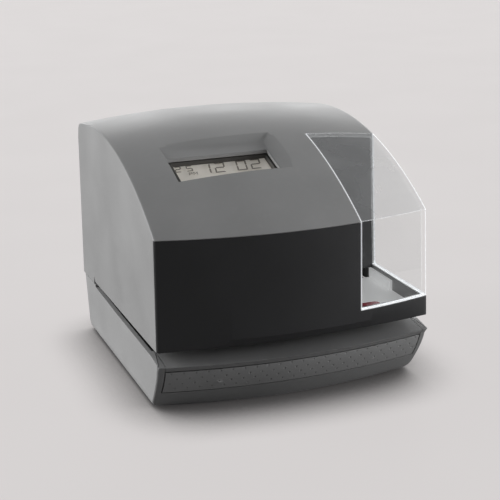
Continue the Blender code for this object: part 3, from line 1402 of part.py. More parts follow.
def make_key_board(material):
    low = BRACKET_SHELF_Z + GAP
    obj = box("key_board", (BRACKET_LEFT_X, BRACKET_RIGHT_X), (KEY_BOARD_FRONT_Y, KEY_BOARD_REAR_Y),
              (low, low + BOARD_THICKNESS), PARTS)
    middle_y = (KEY_BOARD_FRONT_Y + KEY_BOARD_REAR_Y) / 2
    top = low + BOARD_THICKNESS
    for index in range(len(KEY_NAMES)):
        x = KEY_FIRST_X + index * KEY_PITCH
        width, depth, height = KEY_BODY
        join(obj, box("key_body_tool", (x - width / 2, x + width / 2),
                      (middle_y - depth / 2, middle_y + depth / 2),
                      (low + BOARD_THICKNESS / 2, top + height), CUTTERS))
        cut(obj, cylinder("key_bore_cutter", KEY_CAP_RADIUS + GAP,
                          (top + height / 4, top + height + OVERRUN), (x, middle_y), "Z", CUTTERS,
                          SMALL_SIDES))
    return paint(obj, material)


def make_key(name, index, material):
    middle_y = (KEY_BOARD_FRONT_Y + KEY_BOARD_REAR_Y) / 2
    top = BRACKET_SHELF_Z + GAP + BOARD_THICKNESS
    floor = top + KEY_BODY[2] / 4 + GAP + KEY_TRAVEL
    obj = cylinder(name, KEY_CAP_RADIUS, (floor, top + KEY_BODY[2] + KEY_CAP_HEIGHT),
                   (KEY_FIRST_X + index * KEY_PITCH, middle_y), "Z", PARTS, SMALL_SIDES)
    return paint(obj, material)


# Lock


def make_lock_housing(material):
    face = cover_half_width(LOCK_Z) - LOCK_FACE_SETBACK / 2
    obj = cylinder("lock_housing", LOCK_HOUSING_RADIUS, (face - LOCK_DEPTH, face), (LOCK_Y, LOCK_Z), "X",
                   PARTS, ROUND_SIDES)
    cut(obj, cylinder("lock_bore_cutter", LOCK_BARREL_RADIUS + LOCK_CLEARANCE,
                      (face - LOCK_DEPTH - OVERRUN, face + OVERRUN), (LOCK_Y, LOCK_Z), "X", CUTTERS,
                      ROUND_SIDES))
    return paint(obj, material)


def make_lock_barrel(material):
    face = cover_half_width(LOCK_Z) - LOCK_FACE_SETBACK
    inner = face - LOCK_DEPTH - GAP
    obj = cylinder("lock_barrel", LOCK_BARREL_RADIUS, (inner, face), (LOCK_Y, LOCK_Z), "X", PARTS,
                   ROUND_SIDES)
    width, height = KEYWAY
    cut(obj, box("keyway_cutter", (face - KEYWAY_DEPTH, face + OVERRUN),
                 (LOCK_Y - width / 2, LOCK_Y + width / 2), (LOCK_Z - height / 2, LOCK_Z + height / 2),
                 CUTTERS))
    return paint(obj, material)


def make_lock_cam(material):
    face = cover_half_width(LOCK_Z) - LOCK_FACE_SETBACK
    outer = face - LOCK_DEPTH - GAP * 2
    half = CAM_WIDTH / 2
    points = []
    for turn in spread(math.pi / 2, math.pi * 3 / 2, SMALL_SIDES):
        points.append((half * math.cos(turn), half * math.sin(turn)))
    points.append((CAM_LENGTH, -half))
    points.append((CAM_LENGTH, half))
    obj = plate("lock_cam", points, (outer - CAM_THICKNESS, outer), "X", PARTS)
    obj.location.y = LOCK_Y
    obj.location.z = LOCK_Z
    return paint(obj, material)


# Fasteners


def make_base_screws(material):
    low = BASE_RIM_Z + RIM_LEDGE - GAP - SCREW_HEAD_HEIGHT
    inner_x = BOTTOM_PLATE_HALF - SCREW_HEAD_RADIUS - GAP
    spots = [(x, y) for x in (-inner_x, inner_x) for y in (BOSS_FRONT_Y, BOSS_REAR_Y)]
    for number, spot in enumerate(spots, 1):
        paint(cylinder(f"base_screw_{number}", SCREW_HEAD_RADIUS, (low, low + SCREW_HEAD_HEIGHT), spot,
                       "Z", PARTS, SMALL_SIDES), material)


def make_frame_screws(material):
    low = BASE_TOP_Z + GAP * 2 + FRAME_SHEET
    y = (FRAME_FOOT_Y + FRAME_REAR_Y) / 2
    inset = SCREW_HEAD_RADIUS * 3
    spots = (FRAME_LEFT_X + inset, (FRAME_LEFT_X + FRAME_RIGHT_X) / 2, FRAME_RIGHT_X - inset)
    for number, x in enumerate(spots, 1):
        paint(cylinder(f"frame_screw_{number}", SCREW_HEAD_RADIUS, (low, low + SCREW_HEAD_HEIGHT), (x, y),
                       "Z", PARTS, SMALL_SIDES), material)


def build():
    light = make_material("light_grey_abs", (0.40, 0.40, 0.40), 0.42)
    dark = make_material("dark_grey_abs", (0.085, 0.085, 0.088), 0.45)
    panel = make_material("panel_charcoal", (0.030, 0.030, 0.032), 0.38)
    black = make_material("black_plastic", (0.012, 0.012, 0.012), 0.55)
    clear = make_material("clear_plastic", (0.85, 0.88, 0.88), 0.08, 0.0, 0.3)
    white = make_material("white_plastic", (0.62, 0.63, 0.63), 0.5)
    red = make_material("red_plastic", (0.48, 0.03, 0.06), 0.4)
    steel = make_material("plated_steel", (0.56, 0.57, 0.58), 0.35, 1.0)
    rubber = make_material("black_rubber", (0.02, 0.02, 0.02), 0.85)
    board = make_material("green_board", (0.03, 0.16, 0.07), 0.5)
    glass = make_material("display_glass", (0.45, 0.43, 0.37), 0.2)
    blue = make_material("battery_sleeve", (0.05, 0.12, 0.35), 0.5)

    make_base_shell(light)
    make_bottom_plate(steel)
    make_rubber_feet(rubber)
    make_chin_moulding(dark)
    make_throat_lip(dark)
    make_push_bar(dark)
    make_bar_springs(steel)
    make_bar_switch(black)
    make_throat_plate(black)
    make_platen(rubber)
    make_power_board(board)
    make_backup_battery(blue)
    make_dc_inlet(black)

    make_cover_shell(light)
    make_front_panel(panel)
    make_window(clear)
    make_chamber_wall(dark)

    make_chassis_frame(steel)
    make_deck_plate(black)
    make_chamber_tray(white)
    make_print_pointer(red)
    make_guide_rods(steel)
    make_carriage(black)
    make_print_head(steel)
    make_ribbon_cassette(dark)
    make_ribbon(black)
    make_ribbon_knob(white)
    make_motor_plate(steel)
    make_carriage_motor(steel)
    make_motor_pulley(steel)
    make_idler_pulley(white)
    make_idler_pin(steel)
    make_drive_belt(rubber)
    make_main_board(board)
    make_display_bracket(steel)
    make_display_module(black)
    make_display_glass(glass)
    make_key_board(board)
    for index, name in enumerate(KEY_NAMES):
        make_key(name, index, white)
    make_lock_housing(steel)
    make_lock_barrel(steel)
    make_lock_cam(steel)
    make_base_screws(steel)
    make_frame_screws(steel)


build()
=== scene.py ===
"""Looks of the date and time stamp machine: camera, light, materials and fine pieces.

Metres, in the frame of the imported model.
"""
import json
import math

import bmesh
import bpy
from mathutils import Matrix, Vector

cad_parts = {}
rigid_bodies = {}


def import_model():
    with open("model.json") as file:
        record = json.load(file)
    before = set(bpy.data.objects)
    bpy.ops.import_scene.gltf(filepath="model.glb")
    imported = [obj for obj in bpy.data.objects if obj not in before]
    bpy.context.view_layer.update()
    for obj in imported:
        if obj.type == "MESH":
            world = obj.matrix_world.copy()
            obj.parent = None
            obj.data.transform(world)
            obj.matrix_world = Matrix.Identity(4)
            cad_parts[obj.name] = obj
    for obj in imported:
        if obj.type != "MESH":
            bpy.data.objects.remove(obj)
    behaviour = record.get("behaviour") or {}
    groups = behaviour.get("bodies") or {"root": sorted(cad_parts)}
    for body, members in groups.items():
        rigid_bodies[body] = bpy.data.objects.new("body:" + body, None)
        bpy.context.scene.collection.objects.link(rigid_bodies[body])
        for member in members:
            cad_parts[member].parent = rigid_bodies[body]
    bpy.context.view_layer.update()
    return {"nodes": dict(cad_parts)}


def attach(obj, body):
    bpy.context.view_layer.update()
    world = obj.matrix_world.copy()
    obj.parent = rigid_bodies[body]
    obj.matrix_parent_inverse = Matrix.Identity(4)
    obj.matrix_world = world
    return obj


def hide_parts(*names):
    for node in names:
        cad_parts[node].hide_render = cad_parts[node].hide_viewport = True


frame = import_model()
cad_nodes = frame["nodes"]

scene = bpy.context.scene
scene.view_settings.view_transform = "Standard"


# Sizes of the fine pieces, as in the part
WIDTH = 0.1600
DEPTH = 0.1829
HEIGHT = 0.1448
HALF_WIDTH = WIDTH / 2
BACK_Y = DEPTH / 2
GAP = 0.0003
OVERRUN = 0.0100
SHORT_OVERRUN = 0.0010
WELD = 0.00001
SMOOTH_ANGLE = math.radians(35)
QUAD_CORNERS = 4
CROWN = 0.0050
ARC_RADIUS = 0.2220
ARC_PEAK_Y = 0.0450
FRONT_BOW = 0.0125
SKIRT_BOW = 0.0075
SKIRT_BAND = 0.0052
COVER_DRAFT = 0.0017
COVER_WALL = 0.0025
COVER_EDGE_RADIUS = 0.0010
REAR_EDGE_RADIUS = 0.0050
THROAT_CEILING_Z = 0.0399
THROAT_END_Y = 0.0630
THROAT_NOTCH = 0.0030
PANEL_THICKNESS = 0.0022
CORNER_Y = FRONT_BOW - BACK_Y
PEAK_Z = HEIGHT - CROWN
STATION_COUNT = 72
SLOPE_COUNT = 56
ROUND_COUNT = 4
BASE_TOP_Z = 0.0380
BASE_RIM_Z = 0.0012
BASE_TAPER = 0.0012
BASE_EDGE_RADIUS = 0.0045
BASE_PLAN_RADIUS = 0.0050
NOSE_BOW = 0.0108
NOSE_PLAN_RADIUS = 0.0010
LIP_Z = 0.0317
LIP_FACE = 0.0030
LIP_SETBACK = 0.0030
CHIN_RUN = 0.0205
CHIN_CURVE_SHARE = 1.3
NOSE_Y = NOSE_BOW - BACK_Y
APRON_Y = -0.0650
APRON_Z = 0.0340
RAIL_MIDDLE_Y = 0.0100
RAIL_MIDDLE_Z = 0.0350
RAIL_END_Z = 0.0365
CHIN_THICKNESS = 0.0025
APRON_DEPTH = 0.0160
SIDE_SKIN = 0.0010
SEAM_X = 0.0760
SEAM_GAP = 0.0003
LIP_REAR_Y = -0.0585
BAR_TOP_Z = 0.0280
BAR_BOTTOM_Z = 0.0134
BAR_THICKNESS = 0.0022
BAR_LEVEL_COUNT = 7
BAR_END_GAP = 0.0007
BAR_LOWER_GAP = 0.0005
BAR_GUIDE_X = 0.0450
BAR_GUIDE_RADIUS = 0.0024
BAR_GUIDE_END_Y = -0.0480
WINDOW_LEFT_X = 0.0345
WINDOW_REAR_Y = -0.0105
WINDOW_SILL_Z = 0.0515
WINDOW_THICKNESS = 0.0022
RECESS_TILT = math.radians(18)
RECESS_FLOOR_LEFT_X = -0.0540
RECESS_FLOOR_RIGHT_X = 0.0080
RECESS_FLOOR_REAR_Y = -0.0100
RECESS_FLOOR_FRONT_Y = -0.0446
RECESS_DROP = 0.0218
RECESS_FLOOR_Z = HEIGHT - RECESS_DROP
RECESS_FLARE_LEFT = 0.0006
RECESS_FLARE_RIGHT = 0.0125
RECESS_FLARE_REAR = 0.0110
RECESS_FLARE_FRONT = 0.0012
RECESS_RISE = 0.0080
RECESS_WALL = 0.0020
DISPLAY_LEFT_X = -0.0536
DISPLAY_RIGHT_X = 0.0068
DISPLAY_REAR_Y = -0.0194
DISPLAY_FRONT_Y = -0.0443
LOCK_Y = 0.0600
LOCK_Z = 0.0620
LOCK_HOUSING_RADIUS = 0.0090
ROUND_SIDES = 24
SMALL_SIDES = 12
AXIS_TURNS = {"X": (0, math.pi / 2, 0), "Y": (-math.pi / 2, 0, 0), "Z": (0, 0, 0)}
BASE_LEVEL_SHARES = (0, 0.03, 0.09, 0.18, 0.30, 0.45, 0.60, 0.75, 0.88, 1)


# Camera at the photograph's viewing angle
CAMERA_PLACE = Vector((-0.2534, -0.7204, 0.2867))
CAMERA_YAW = math.radians(19.52)
CAMERA_PITCH = math.radians(16.06)
CAMERA_ROLL = math.radians(-1.42)
CAMERA_FOCAL_SHARE = 1326.5 / 500
SENSOR = 36.0
CLIP_SPAN = (0.02, 40.0)

# Painted highlight lines where the clear window ends, and the strength of their painted glow
PAINTED_LINE_WIDTH = 0.0006
PAINTED_RIM_GLOW = 0.5

# Hollows on the push bar
DIMPLE_PITCH = 0.0066
DIMPLE_ROW = 0.0036
DIMPLE_HALF = 0.0007

# The display's glass, its frame and its digits: each digit's shares of the glass for its left and top
# and its width, then its height and the width of its bars
DISPLAY_DROP = 0.0050
GLASS_LEFT_X = -0.0505
GLASS_RIGHT_X = 0.0056
GLASS_REAR_Y = -0.0184
GLASS_FRONT_Y = -0.0400
BEZEL_INNER = (-0.0505, 0.0056, -0.0400, -0.0190)
BEZEL_OUTER = (-0.0535, 0.0072, -0.0430, -0.0164)
BEZEL_HEIGHT = 0.0022
BEZEL_BEVEL = 0.0003
BEZEL_STEPS = (BEZEL_BEVEL, -BEZEL_BEVEL, BEZEL_BEVEL, -BEZEL_BEVEL)
SEGMENT_GAP = 0.00012
DIGIT_SLANT = 0.17
DIGIT_LOW = 0.00036
DIGIT_HIGH = 0.00044
LETTER_STROKE = 0.00036
LCD_DIGITS = (
    ("2", 0.024, 0.07, 0.067, 0.0058, 0.0007),
    ("5", 0.144, 0.07, 0.067, 0.0058, 0.0007),
    ("1", 0.288, 0.07, 0.108, 0.0100, 0.0009),
    ("2", 0.438, 0.07, 0.110, 0.0100, 0.0009),
    ("0", 0.670, 0.07, 0.110, 0.0100, 0.0009),
    ("2", 0.820, 0.07, 0.110, 0.0100, 0.0009),
)
LCD_LETTERS = (
    ("P", 0.142, 0.405, 0.0018, 0.0024),
    ("M", 0.188, 0.405, 0.0021, 0.0024),
)

# Colours of the mouldings, as light that each one gives back
LIGHT_GREY = (0.40, 0.40, 0.40)
DARK_GREY = (0.27, 0.27, 0.272)
# The bar's grey is a lighter copy of the dark grey plastic: painted light standing for the table's bounce
# light
BAR_LIT_GREY = (0.33, 0.33, 0.332)
CHARCOAL = (0.046, 0.046, 0.048)
# The chamber wall's grey is the dark grey plastic darkened as painted shade inside the chamber
CHAMBER_PAINTED_SHADE = (0.060, 0.060, 0.062)
BLACK = (0.012, 0.012, 0.013)
OFF_WHITE = (0.86, 0.865, 0.865)
RED = (0.42, 0.03, 0.055)
STEEL = (0.56, 0.57, 0.58)
RUBBER = (0.018, 0.018, 0.019)
BOARD_GREEN = (0.025, 0.14, 0.06)
BEZEL = (0.100, 0.096, 0.088)
LCD = (0.84, 0.80, 0.73)
LCD_BAR = (0.30, 0.27, 0.235)
# The base's grey is a lighter copy of the cover's light grey: painted light
BASE_LIT_GREY = (0.46, 0.46, 0.46)
SLEEVE = (0.05, 0.12, 0.35)

# Table and world: what the camera sees as pale, the reach of the floor's painted contact shadow, and what
# the lamps and the machine meet
FLOOR_HALF = 9.0
FLOOR_DARK = (0.26, 0.255, 0.253, 1.0)
FLOOR_LIGHT = (0.28, 0.275, 0.273, 1.0)
PAPER = (0.865, 0.83, 0.825, 1.0)
PAPER_SHARE = 0.72
SHADOW_REACH = 0.045
SKY = (0.97, 0.985, 1.0, 1.0)
SKY_LEVEL = 0.15
BACKDROP = (0.68, 0.66, 0.655, 1.0)

# Lamps: the place, the two sides of the rectangle and the watts of each
LAMP_AIM = (0.0, 0.0, 0.07)
LAMPS = {
    "key_lamp": ((-2.6, 1.2, 1.0), (2.2, 2.0), 78.0),
    "back_lamp": ((1.2, 3.0, 0.8), (3.5, 1.1), 30.0),
    "fill_lamp": ((2.6, -0.6, 0.5), (2.4, 0.8), 72.0),
}


def make_camera():
    ahead = Vector((
        math.sin(CAMERA_YAW) * math.cos(CAMERA_PITCH),
        math.cos(CAMERA_YAW) * math.cos(CAMERA_PITCH),
        -math.sin(CAMERA_PITCH),
    ))
    level = Vector((math.cos(CAMERA_YAW), -math.sin(CAMERA_YAW), 0.0))
    upright = level.cross(ahead)
    right = math.cos(CAMERA_ROLL) * level + math.sin(CAMERA_ROLL) * upright
    up = -math.sin(CAMERA_ROLL) * level + math.cos(CAMERA_ROLL) * upright
    data = bpy.data.cameras.new("camera")
    data.sensor_width = SENSOR
    data.lens = SENSOR * CAMERA_FOCAL_SHARE
    data.clip_start, data.clip_end = CLIP_SPAN
    camera = bpy.data.objects.new("camera", data)
    scene.collection.objects.link(camera)
    rows = Matrix((right, up, -ahead)).transposed().to_4x4()
    camera.matrix_world = Matrix.Translation(CAMERA_PLACE) @ rows
    scene.camera = camera


class Graph:
    """A new material with short calls for its nodes and links."""

    def __init__(self, name):
        self.material = bpy.data.materials.new(name)
        self.material.use_nodes = True
        self.tree = self.material.node_tree
        self.tree.nodes.clear()
        self.output = self.tree.nodes.new("ShaderNodeOutputMaterial")
        self.place = None

    def node(self, kind, **settings):
        made = self.tree.nodes.new("ShaderNode" + kind)
        for key, value in settings.items():
            setattr(made, key, value)
        return made

    def plug(self, socket, value):
        if isinstance(value, bpy.types.NodeSocket):
            self.tree.links.new(value, socket)
        else:
            socket.default_value = value

    def coords(self):
        if self.place is None:
            self.place = self.node("TexCoord").outputs["Object"]
        return self.place

    def axis(self, letter):
        split = self.node("SeparateXYZ")
        self.plug(split.inputs[0], self.coords())
        return split.outputs[letter]

    def math(self, operation, first, second=0.0, third=0.0, clamp=False):
        made = self.node("Math", operation=operation, use_clamp=clamp)
        self.plug(made.inputs[0], first)
        self.plug(made.inputs[1], second)
        self.plug(made.inputs[2], third)
        return made.outputs[0]

    def scaled(self, factors):
        made = self.node("VectorMath", operation="MULTIPLY")
        self.plug(made.inputs[0], self.coords())
        made.inputs[1].default_value = factors
        return made.outputs[0]

    def noise(self, scale, detail=2.0, rough=0.5, vector=None):
        made = self.node("TexNoise")
        self.plug(made.inputs["Vector"], vector or self.coords())
        made.inputs["Scale"].default_value = scale
        made.inputs["Detail"].default_value = detail
        made.inputs["Roughness"].default_value = rough
        return made.outputs["Fac"]

    def cells(self, scale, feature="F1", output="Distance", vector=None):
        made = self.node("TexVoronoi", feature=feature)
        self.plug(made.inputs["Vector"], vector or self.coords())
        made.inputs["Scale"].default_value = scale
        return made.outputs[output]

    def spread(self, value, low, high, to_low=0.0, to_high=1.0):
        made = self.node("MapRange")
        self.plug(made.inputs["Value"], value)
        made.inputs["From Min"].default_value = low
        made.inputs["From Max"].default_value = high
        made.inputs["To Min"].default_value = to_low
        made.inputs["To Max"].default_value = to_high
        return made.outputs[0]

    def mix(self, factor, first, second, blend="MIX"):
        made = self.node("Mix", data_type="RGBA", blend_type=blend)
        self.plug(made.inputs[0], factor)
        self.plug(made.inputs[6], first)
        self.plug(made.inputs[7], second)
        return made.outputs[2]

    def bump(self, height, strength, depth, below=None):
        made = self.node("Bump")
        made.inputs["Strength"].default_value = strength
        made.inputs["Distance"].default_value = depth
        self.plug(made.inputs["Height"], height)
        if below is not None:
            self.plug(made.inputs["Normal"], below)
        return made.outputs[0]

    def soft_edges(self, radius):
        """The rounded normal at the edges, and a mask that is 1 on them."""
        rounded = self.node("Bevel", samples=6)
        rounded.inputs["Radius"].default_value = radius
        flat = self.node("NewGeometry")
        dot = self.node("VectorMath", operation="DOT_PRODUCT")
        self.plug(dot.inputs[0], rounded.outputs[0])
        self.plug(dot.inputs[1], flat.outputs["Normal"])
        away = self.math("SUBTRACT", 1.0, dot.outputs["Value"])
        return rounded.outputs[0], self.math("MULTIPLY", away, 5.0, clamp=True)

    def surface(self, **values):
        shader = self.node("BsdfPrincipled")
        for key, value in values.items():
            self.plug(shader.inputs[key.replace("_", " ")], value)
        self.tree.links.new(shader.outputs[0], self.output.inputs[0])
        return shader


def shade(colour, factor):
    return tuple(min(1.0, c * factor) for c in colour[:3]) + (1.0,)


def moulded(name, colour, rough=0.42, grain=0.00045, depth=0.00002, tone=0.05, edge=0.0004,
            wear=0.35, specular=0.5, glow=0.0):
    """Moulded plastic: a spark-eroded grain, slow tone changes and worn, lighter edges; a glow above zero
    paints light into it.
    """
    graph = Graph(name)
    slow = graph.noise(28.0, 3.0)
    fine = graph.noise(260.0, 2.0)
    pits = graph.cells(1.0 / grain)
    rounded, on_edge = graph.soft_edges(edge)
    body = graph.mix(graph.spread(slow, 0.3, 0.7), shade(colour, 1.0 - tone), shade(colour, 1.0 + tone))
    flecks = graph.spread(fine, 0.55, 0.8, 0.0, 0.25)
    body = graph.mix(flecks, body, shade(colour, 1.0 + 3.0 * tone))
    rubbed = graph.math("MULTIPLY", on_edge, graph.spread(fine, 0.35, 0.65, 0.4 * wear, wear))
    lit = tuple(0.55 * c + 0.45 * 0.5 for c in colour[:3]) + (1.0,)
    body = graph.mix(rubbed, body, lit)
    gloss = graph.spread(slow, 0.25, 0.75, rough - 0.05, rough + 0.06)
    gloss = graph.math("SUBTRACT", gloss, graph.math("MULTIPLY", on_edge, 0.08))
    relief = graph.bump(pits, 0.55, depth, rounded)
    graph.surface(Base_Color=body, Roughness=gloss, Normal=relief, Specular_IOR_Level=specular,
                  Emission_Color=body, Emission_Strength=glow)
    return graph.material


def dimpled(name, colour):
    """The push bar's moulding, with small hollows in staggered rows, painted darker inside as shade."""
    graph = Graph(name)
    x = graph.axis("X")
    z = graph.axis("Z")
    row = graph.math("DIVIDE", z, DIMPLE_ROW)
    shift = graph.math("MULTIPLY", graph.math("MODULO", graph.math("FLOOR", row), 2.0), 0.5)
    column = graph.math("ADD", graph.math("DIVIDE", x, DIMPLE_PITCH), shift)
    across = graph.math("SUBTRACT", graph.math("FRACT", column), 0.5)
    along = graph.math("SUBTRACT", graph.math("FRACT", row), 0.5)
    across = graph.math("MULTIPLY", across, DIMPLE_PITCH / DIMPLE_HALF)
    along = graph.math("MULTIPLY", along, DIMPLE_ROW / DIMPLE_HALF)
    square = graph.math("MULTIPLY", across, across)
    square = graph.math("ADD", square, graph.math("MULTIPLY", along, along))
    hollow = graph.math("SUBTRACT", 1.0, square, clamp=True)
    slow = graph.noise(28.0, 3.0)
    fine = graph.noise(260.0, 2.0)
    body = graph.mix(graph.spread(slow, 0.3, 0.7), shade(colour, 0.94), shade(colour, 1.07))
    # Painted shade: the hollows are darkened
    body = graph.mix(graph.math("MULTIPLY", hollow, 0.45), body, shade(colour, 0.45))
    rounded, on_edge = graph.soft_edges(0.0004)
    body = graph.mix(graph.math("MULTIPLY", on_edge, 0.35), body, shade(colour, 3.0))
    pits = graph.cells(2200.0)
    relief = graph.bump(pits, 0.5, 0.00002, rounded)
    relief = graph.bump(graph.math("SUBTRACT", 1.0, hollow), 0.8, 0.0004, relief)
    graph.surface(Base_Color=body, Roughness=graph.spread(fine, 0.3, 0.7, 0.36, 0.48), Normal=relief)
    return graph.material


def plated(name, colour, rough=0.3, along=(1.0, 1.0, 1.0), edge=0.00025):
    """Plated or drawn steel: fine streaks, faint spangle and brighter edges."""
    graph = Graph(name)
    streaks = graph.noise(900.0, 3.0, 0.6, graph.scaled(along))
    spangle = graph.cells(160.0, output="Color")
    rounded, on_edge = graph.soft_edges(edge)
    grey = graph.node("RGBToBW")
    graph.plug(grey.inputs[0], spangle)
    spots = graph.spread(grey.outputs[0], 0.0, 1.0, 0.0, 0.35)
    body = graph.mix(spots, shade(colour, 0.9), shade(colour, 1.12))
    body = graph.mix(graph.spread(streaks, 0.35, 0.7, 0.0, 0.3), body, shade(colour, 0.72))
    body = graph.mix(graph.math("MULTIPLY", on_edge, 0.4), body, shade(colour, 1.3))
    gloss = graph.spread(streaks, 0.3, 0.7, rough - 0.06, rough + 0.12)
    relief = graph.bump(streaks, 0.25, 0.00001, rounded)
    graph.surface(Base_Color=body, Roughness=gloss, Normal=relief, Metallic=1.0)
    return graph.material


def rubbery(name, colour):
    graph = Graph(name)
    dust = graph.noise(120.0, 4.0, 0.65)
    skin = graph.noise(1500.0, 2.0)
    rounded, on_edge = graph.soft_edges(0.0004)
    body = graph.mix(graph.spread(dust, 0.5, 0.8, 0.0, 0.3), shade(colour, 0.9), shade(colour, 2.6))
    body = graph.mix(graph.math("MULTIPLY", on_edge, 0.25), body, shade(colour, 3.0))
    gloss = graph.spread(dust, 0.3, 0.7, 0.72, 0.9)
    relief = graph.bump(skin, 0.5, 0.00003, rounded)
    graph.surface(Base_Color=body, Roughness=gloss, Normal=relief, Specular_IOR_Level=0.35)
    return graph.material


def board(name, colour):
    """Printed board: tracks under the mask, drilled pads and a slightly uneven coat."""
    graph = Graph(name)
    tracks = graph.node("TexBrick")
    graph.plug(tracks.inputs["Vector"], graph.coords())
    tracks.inputs["Scale"].default_value = 120.0
    tracks.inputs["Mortar Size"].default_value = 0.035
    tracks.inputs["Color1"].default_value = shade(colour, 0.8)
    tracks.inputs["Color2"].default_value = shade(colour, 1.15)
    tracks.inputs["Mortar"].default_value = shade(colour, 1.9)
    pads = graph.math("LESS_THAN", graph.cells(330.0), 0.16)
    coat = graph.noise(90.0, 3.0)
    body = graph.mix(pads, tracks.outputs[0], (0.62, 0.6, 0.5, 1.0))
    body = graph.mix(graph.spread(coat, 0.4, 0.7, 0.0, 0.25), body, shade(colour, 0.6))
    rounded, on_edge = graph.soft_edges(0.0002)
    body = graph.mix(graph.math("MULTIPLY", on_edge, 0.3), body, (0.4, 0.42, 0.3, 1.0))
    relief = graph.bump(tracks.outputs[1], 0.4, 0.00003, rounded)
    gloss = graph.spread(coat, 0.3, 0.7, 0.24, 0.4)
    graph.surface(Base_Color=body, Roughness=gloss, Normal=relief)
    return graph.material


def clear_moulding(name, tint, edge=0.0007):
    """Clear plastic sheet: what is behind shows through and the sky mirrors in it. A painted white sheen
    stands for the bright sky's reflection on faces that look up. Its edges look white through painted,
    glowing highlight lines.
    """
    graph = Graph(name)
    flow = graph.noise(30.0, 2.0)
    scuffs = graph.noise(420.0, 4.0, 0.7, graph.scaled((1.0, 0.25, 1.0)))
    rounded, on_edge = graph.soft_edges(edge)
    body = graph.mix(graph.spread(flow, 0.3, 0.7), shade(tint, 0.985), shade(tint, 1.0))
    through = graph.node("BsdfTransparent")
    graph.plug(through.inputs[0], body)
    mirror = graph.node("BsdfGlossy")
    mirror.inputs["Color"].default_value = (1.0, 1.0, 1.0, 1.0)
    graph.plug(mirror.inputs["Roughness"], graph.spread(scuffs, 0.4, 0.8, 0.03, 0.12))
    angle = graph.node("Fresnel")
    angle.inputs["IOR"].default_value = 1.45
    outside = graph.math("SUBTRACT", 1.0, graph.node("NewGeometry").outputs["Backfacing"])
    sheet = graph.node("MixShader")
    outer = graph.math("MULTIPLY", outside, 0.6)
    graph.plug(sheet.inputs[0], graph.math("MULTIPLY", angle.outputs[0], outer))
    graph.plug(sheet.inputs[1], through.outputs[0])
    graph.plug(sheet.inputs[2], mirror.outputs[0])
    # Painted reflection: a white diffuse sheen on faces that look up stands for the bright sky mirrored
    # in them
    facing = graph.node("SeparateXYZ")
    graph.plug(facing.inputs[0], graph.node("NewGeometry").outputs["Normal"])
    upward = graph.math("MULTIPLY", graph.spread(facing.outputs["Z"], 0.3, 0.7), outside)
    painted_sky_reflection = graph.node("BsdfDiffuse")
    painted_sky_reflection.inputs["Color"].default_value = (0.9, 0.91, 0.92, 1.0)
    with_painted_reflection = graph.node("MixShader")
    graph.plug(with_painted_reflection.inputs[0], graph.math("MULTIPLY", upward, graph.spread(flow, 0.3, 0.7, 0.24, 0.32)))
    graph.plug(with_painted_reflection.inputs[1], sheet.outputs[0])
    graph.plug(with_painted_reflection.inputs[2], painted_sky_reflection.outputs[0])
    # Painted highlight: the edges, the corner at the right side and lines along the pane's left and sill
    # edges are painted white and glow
    rim = graph.node("BsdfPrincipled")
    rim.inputs["Base Color"].default_value = (0.93, 0.95, 0.96, 1.0)
    rim.inputs["Roughness"].default_value = 0.25
    rim.inputs["Emission Color"].default_value = (0.95, 0.97, 1.0, 1.0)
    rim.inputs["Emission Strength"].default_value = PAINTED_RIM_GLOW
    graph.plug(rim.inputs["Normal"], rounded)
    speckle = graph.noise(700.0, 3.0, 0.7)
    split = graph.node("SeparateXYZ")
    graph.plug(split.inputs[0], graph.coords())
    share = graph.math("MULTIPLY", on_edge, graph.spread(speckle, 0.35, 0.65, 0.45, 0.95))
    lean = graph.math("MULTIPLY", graph.math("SUBTRACT", split.outputs["Z"], THROAT_CEILING_Z),
                      COVER_DRAFT / (HEIGHT - THROAT_CEILING_Z))
    inward = graph.math("SUBTRACT", graph.math("SUBTRACT", HALF_WIDTH, lean), split.outputs["X"])
    corner = graph.spread(inward, 0.0007, 0.0015, 1.0, 0.0)
    sideways = graph.math("ABSOLUTE", facing.outputs["X"])
    corner = graph.math("MULTIPLY", corner, graph.spread(sideways, 0.55, 0.85, 1.0, 0.0))
    corner = graph.math("MULTIPLY", corner, graph.spread(speckle, 0.35, 0.65, 0.6, 0.95))
    share = graph.math("MAXIMUM", share, corner)
    for letter, place in (("X", WINDOW_LEFT_X), ("Z", WINDOW_SILL_Z)):
        off = graph.math("ABSOLUTE", graph.math("SUBTRACT", split.outputs[letter], place))
        line = graph.spread(off, 0.4 * PAINTED_LINE_WIDTH, PAINTED_LINE_WIDTH, 0.9, 0.0)
        share = graph.math("MAXIMUM", share, line, clamp=True)
    whole = graph.node("MixShader")
    graph.plug(whole.inputs[0], share)
    graph.plug(whole.inputs[1], with_painted_reflection.outputs[0])
    graph.plug(whole.inputs[2], rim.outputs[0])
    graph.plug(graph.output.inputs[0], whole.outputs[0])
    return graph.material


# Fine versions of the curved mouldings, on the part's own curves


def make_collection(name):
    collection = bpy.data.collections.new(name)
    bpy.context.scene.collection.children.link(collection)
    return collection


PARTS = make_collection("fine_pieces")
CUTTERS = make_collection("cutters")


def place_in(obj, collection):
    for held in list(obj.users_collection):
        held.objects.unlink(obj)
    collection.objects.link(obj)
    if collection is CUTTERS:
        obj.hide_render = True
        obj.display_type = "WIRE"
    return obj


def place_in_new(name, mesh, collection):
    return place_in(bpy.data.objects.new(name, mesh), collection)


def finish_mesh(bm, name, collection):
    bmesh.ops.recalc_face_normals(bm, faces=bm.faces)
    mesh = bpy.data.meshes.new(name)
    bm.to_mesh(mesh)
    bm.free()
    return place_in_new(name, mesh, collection)


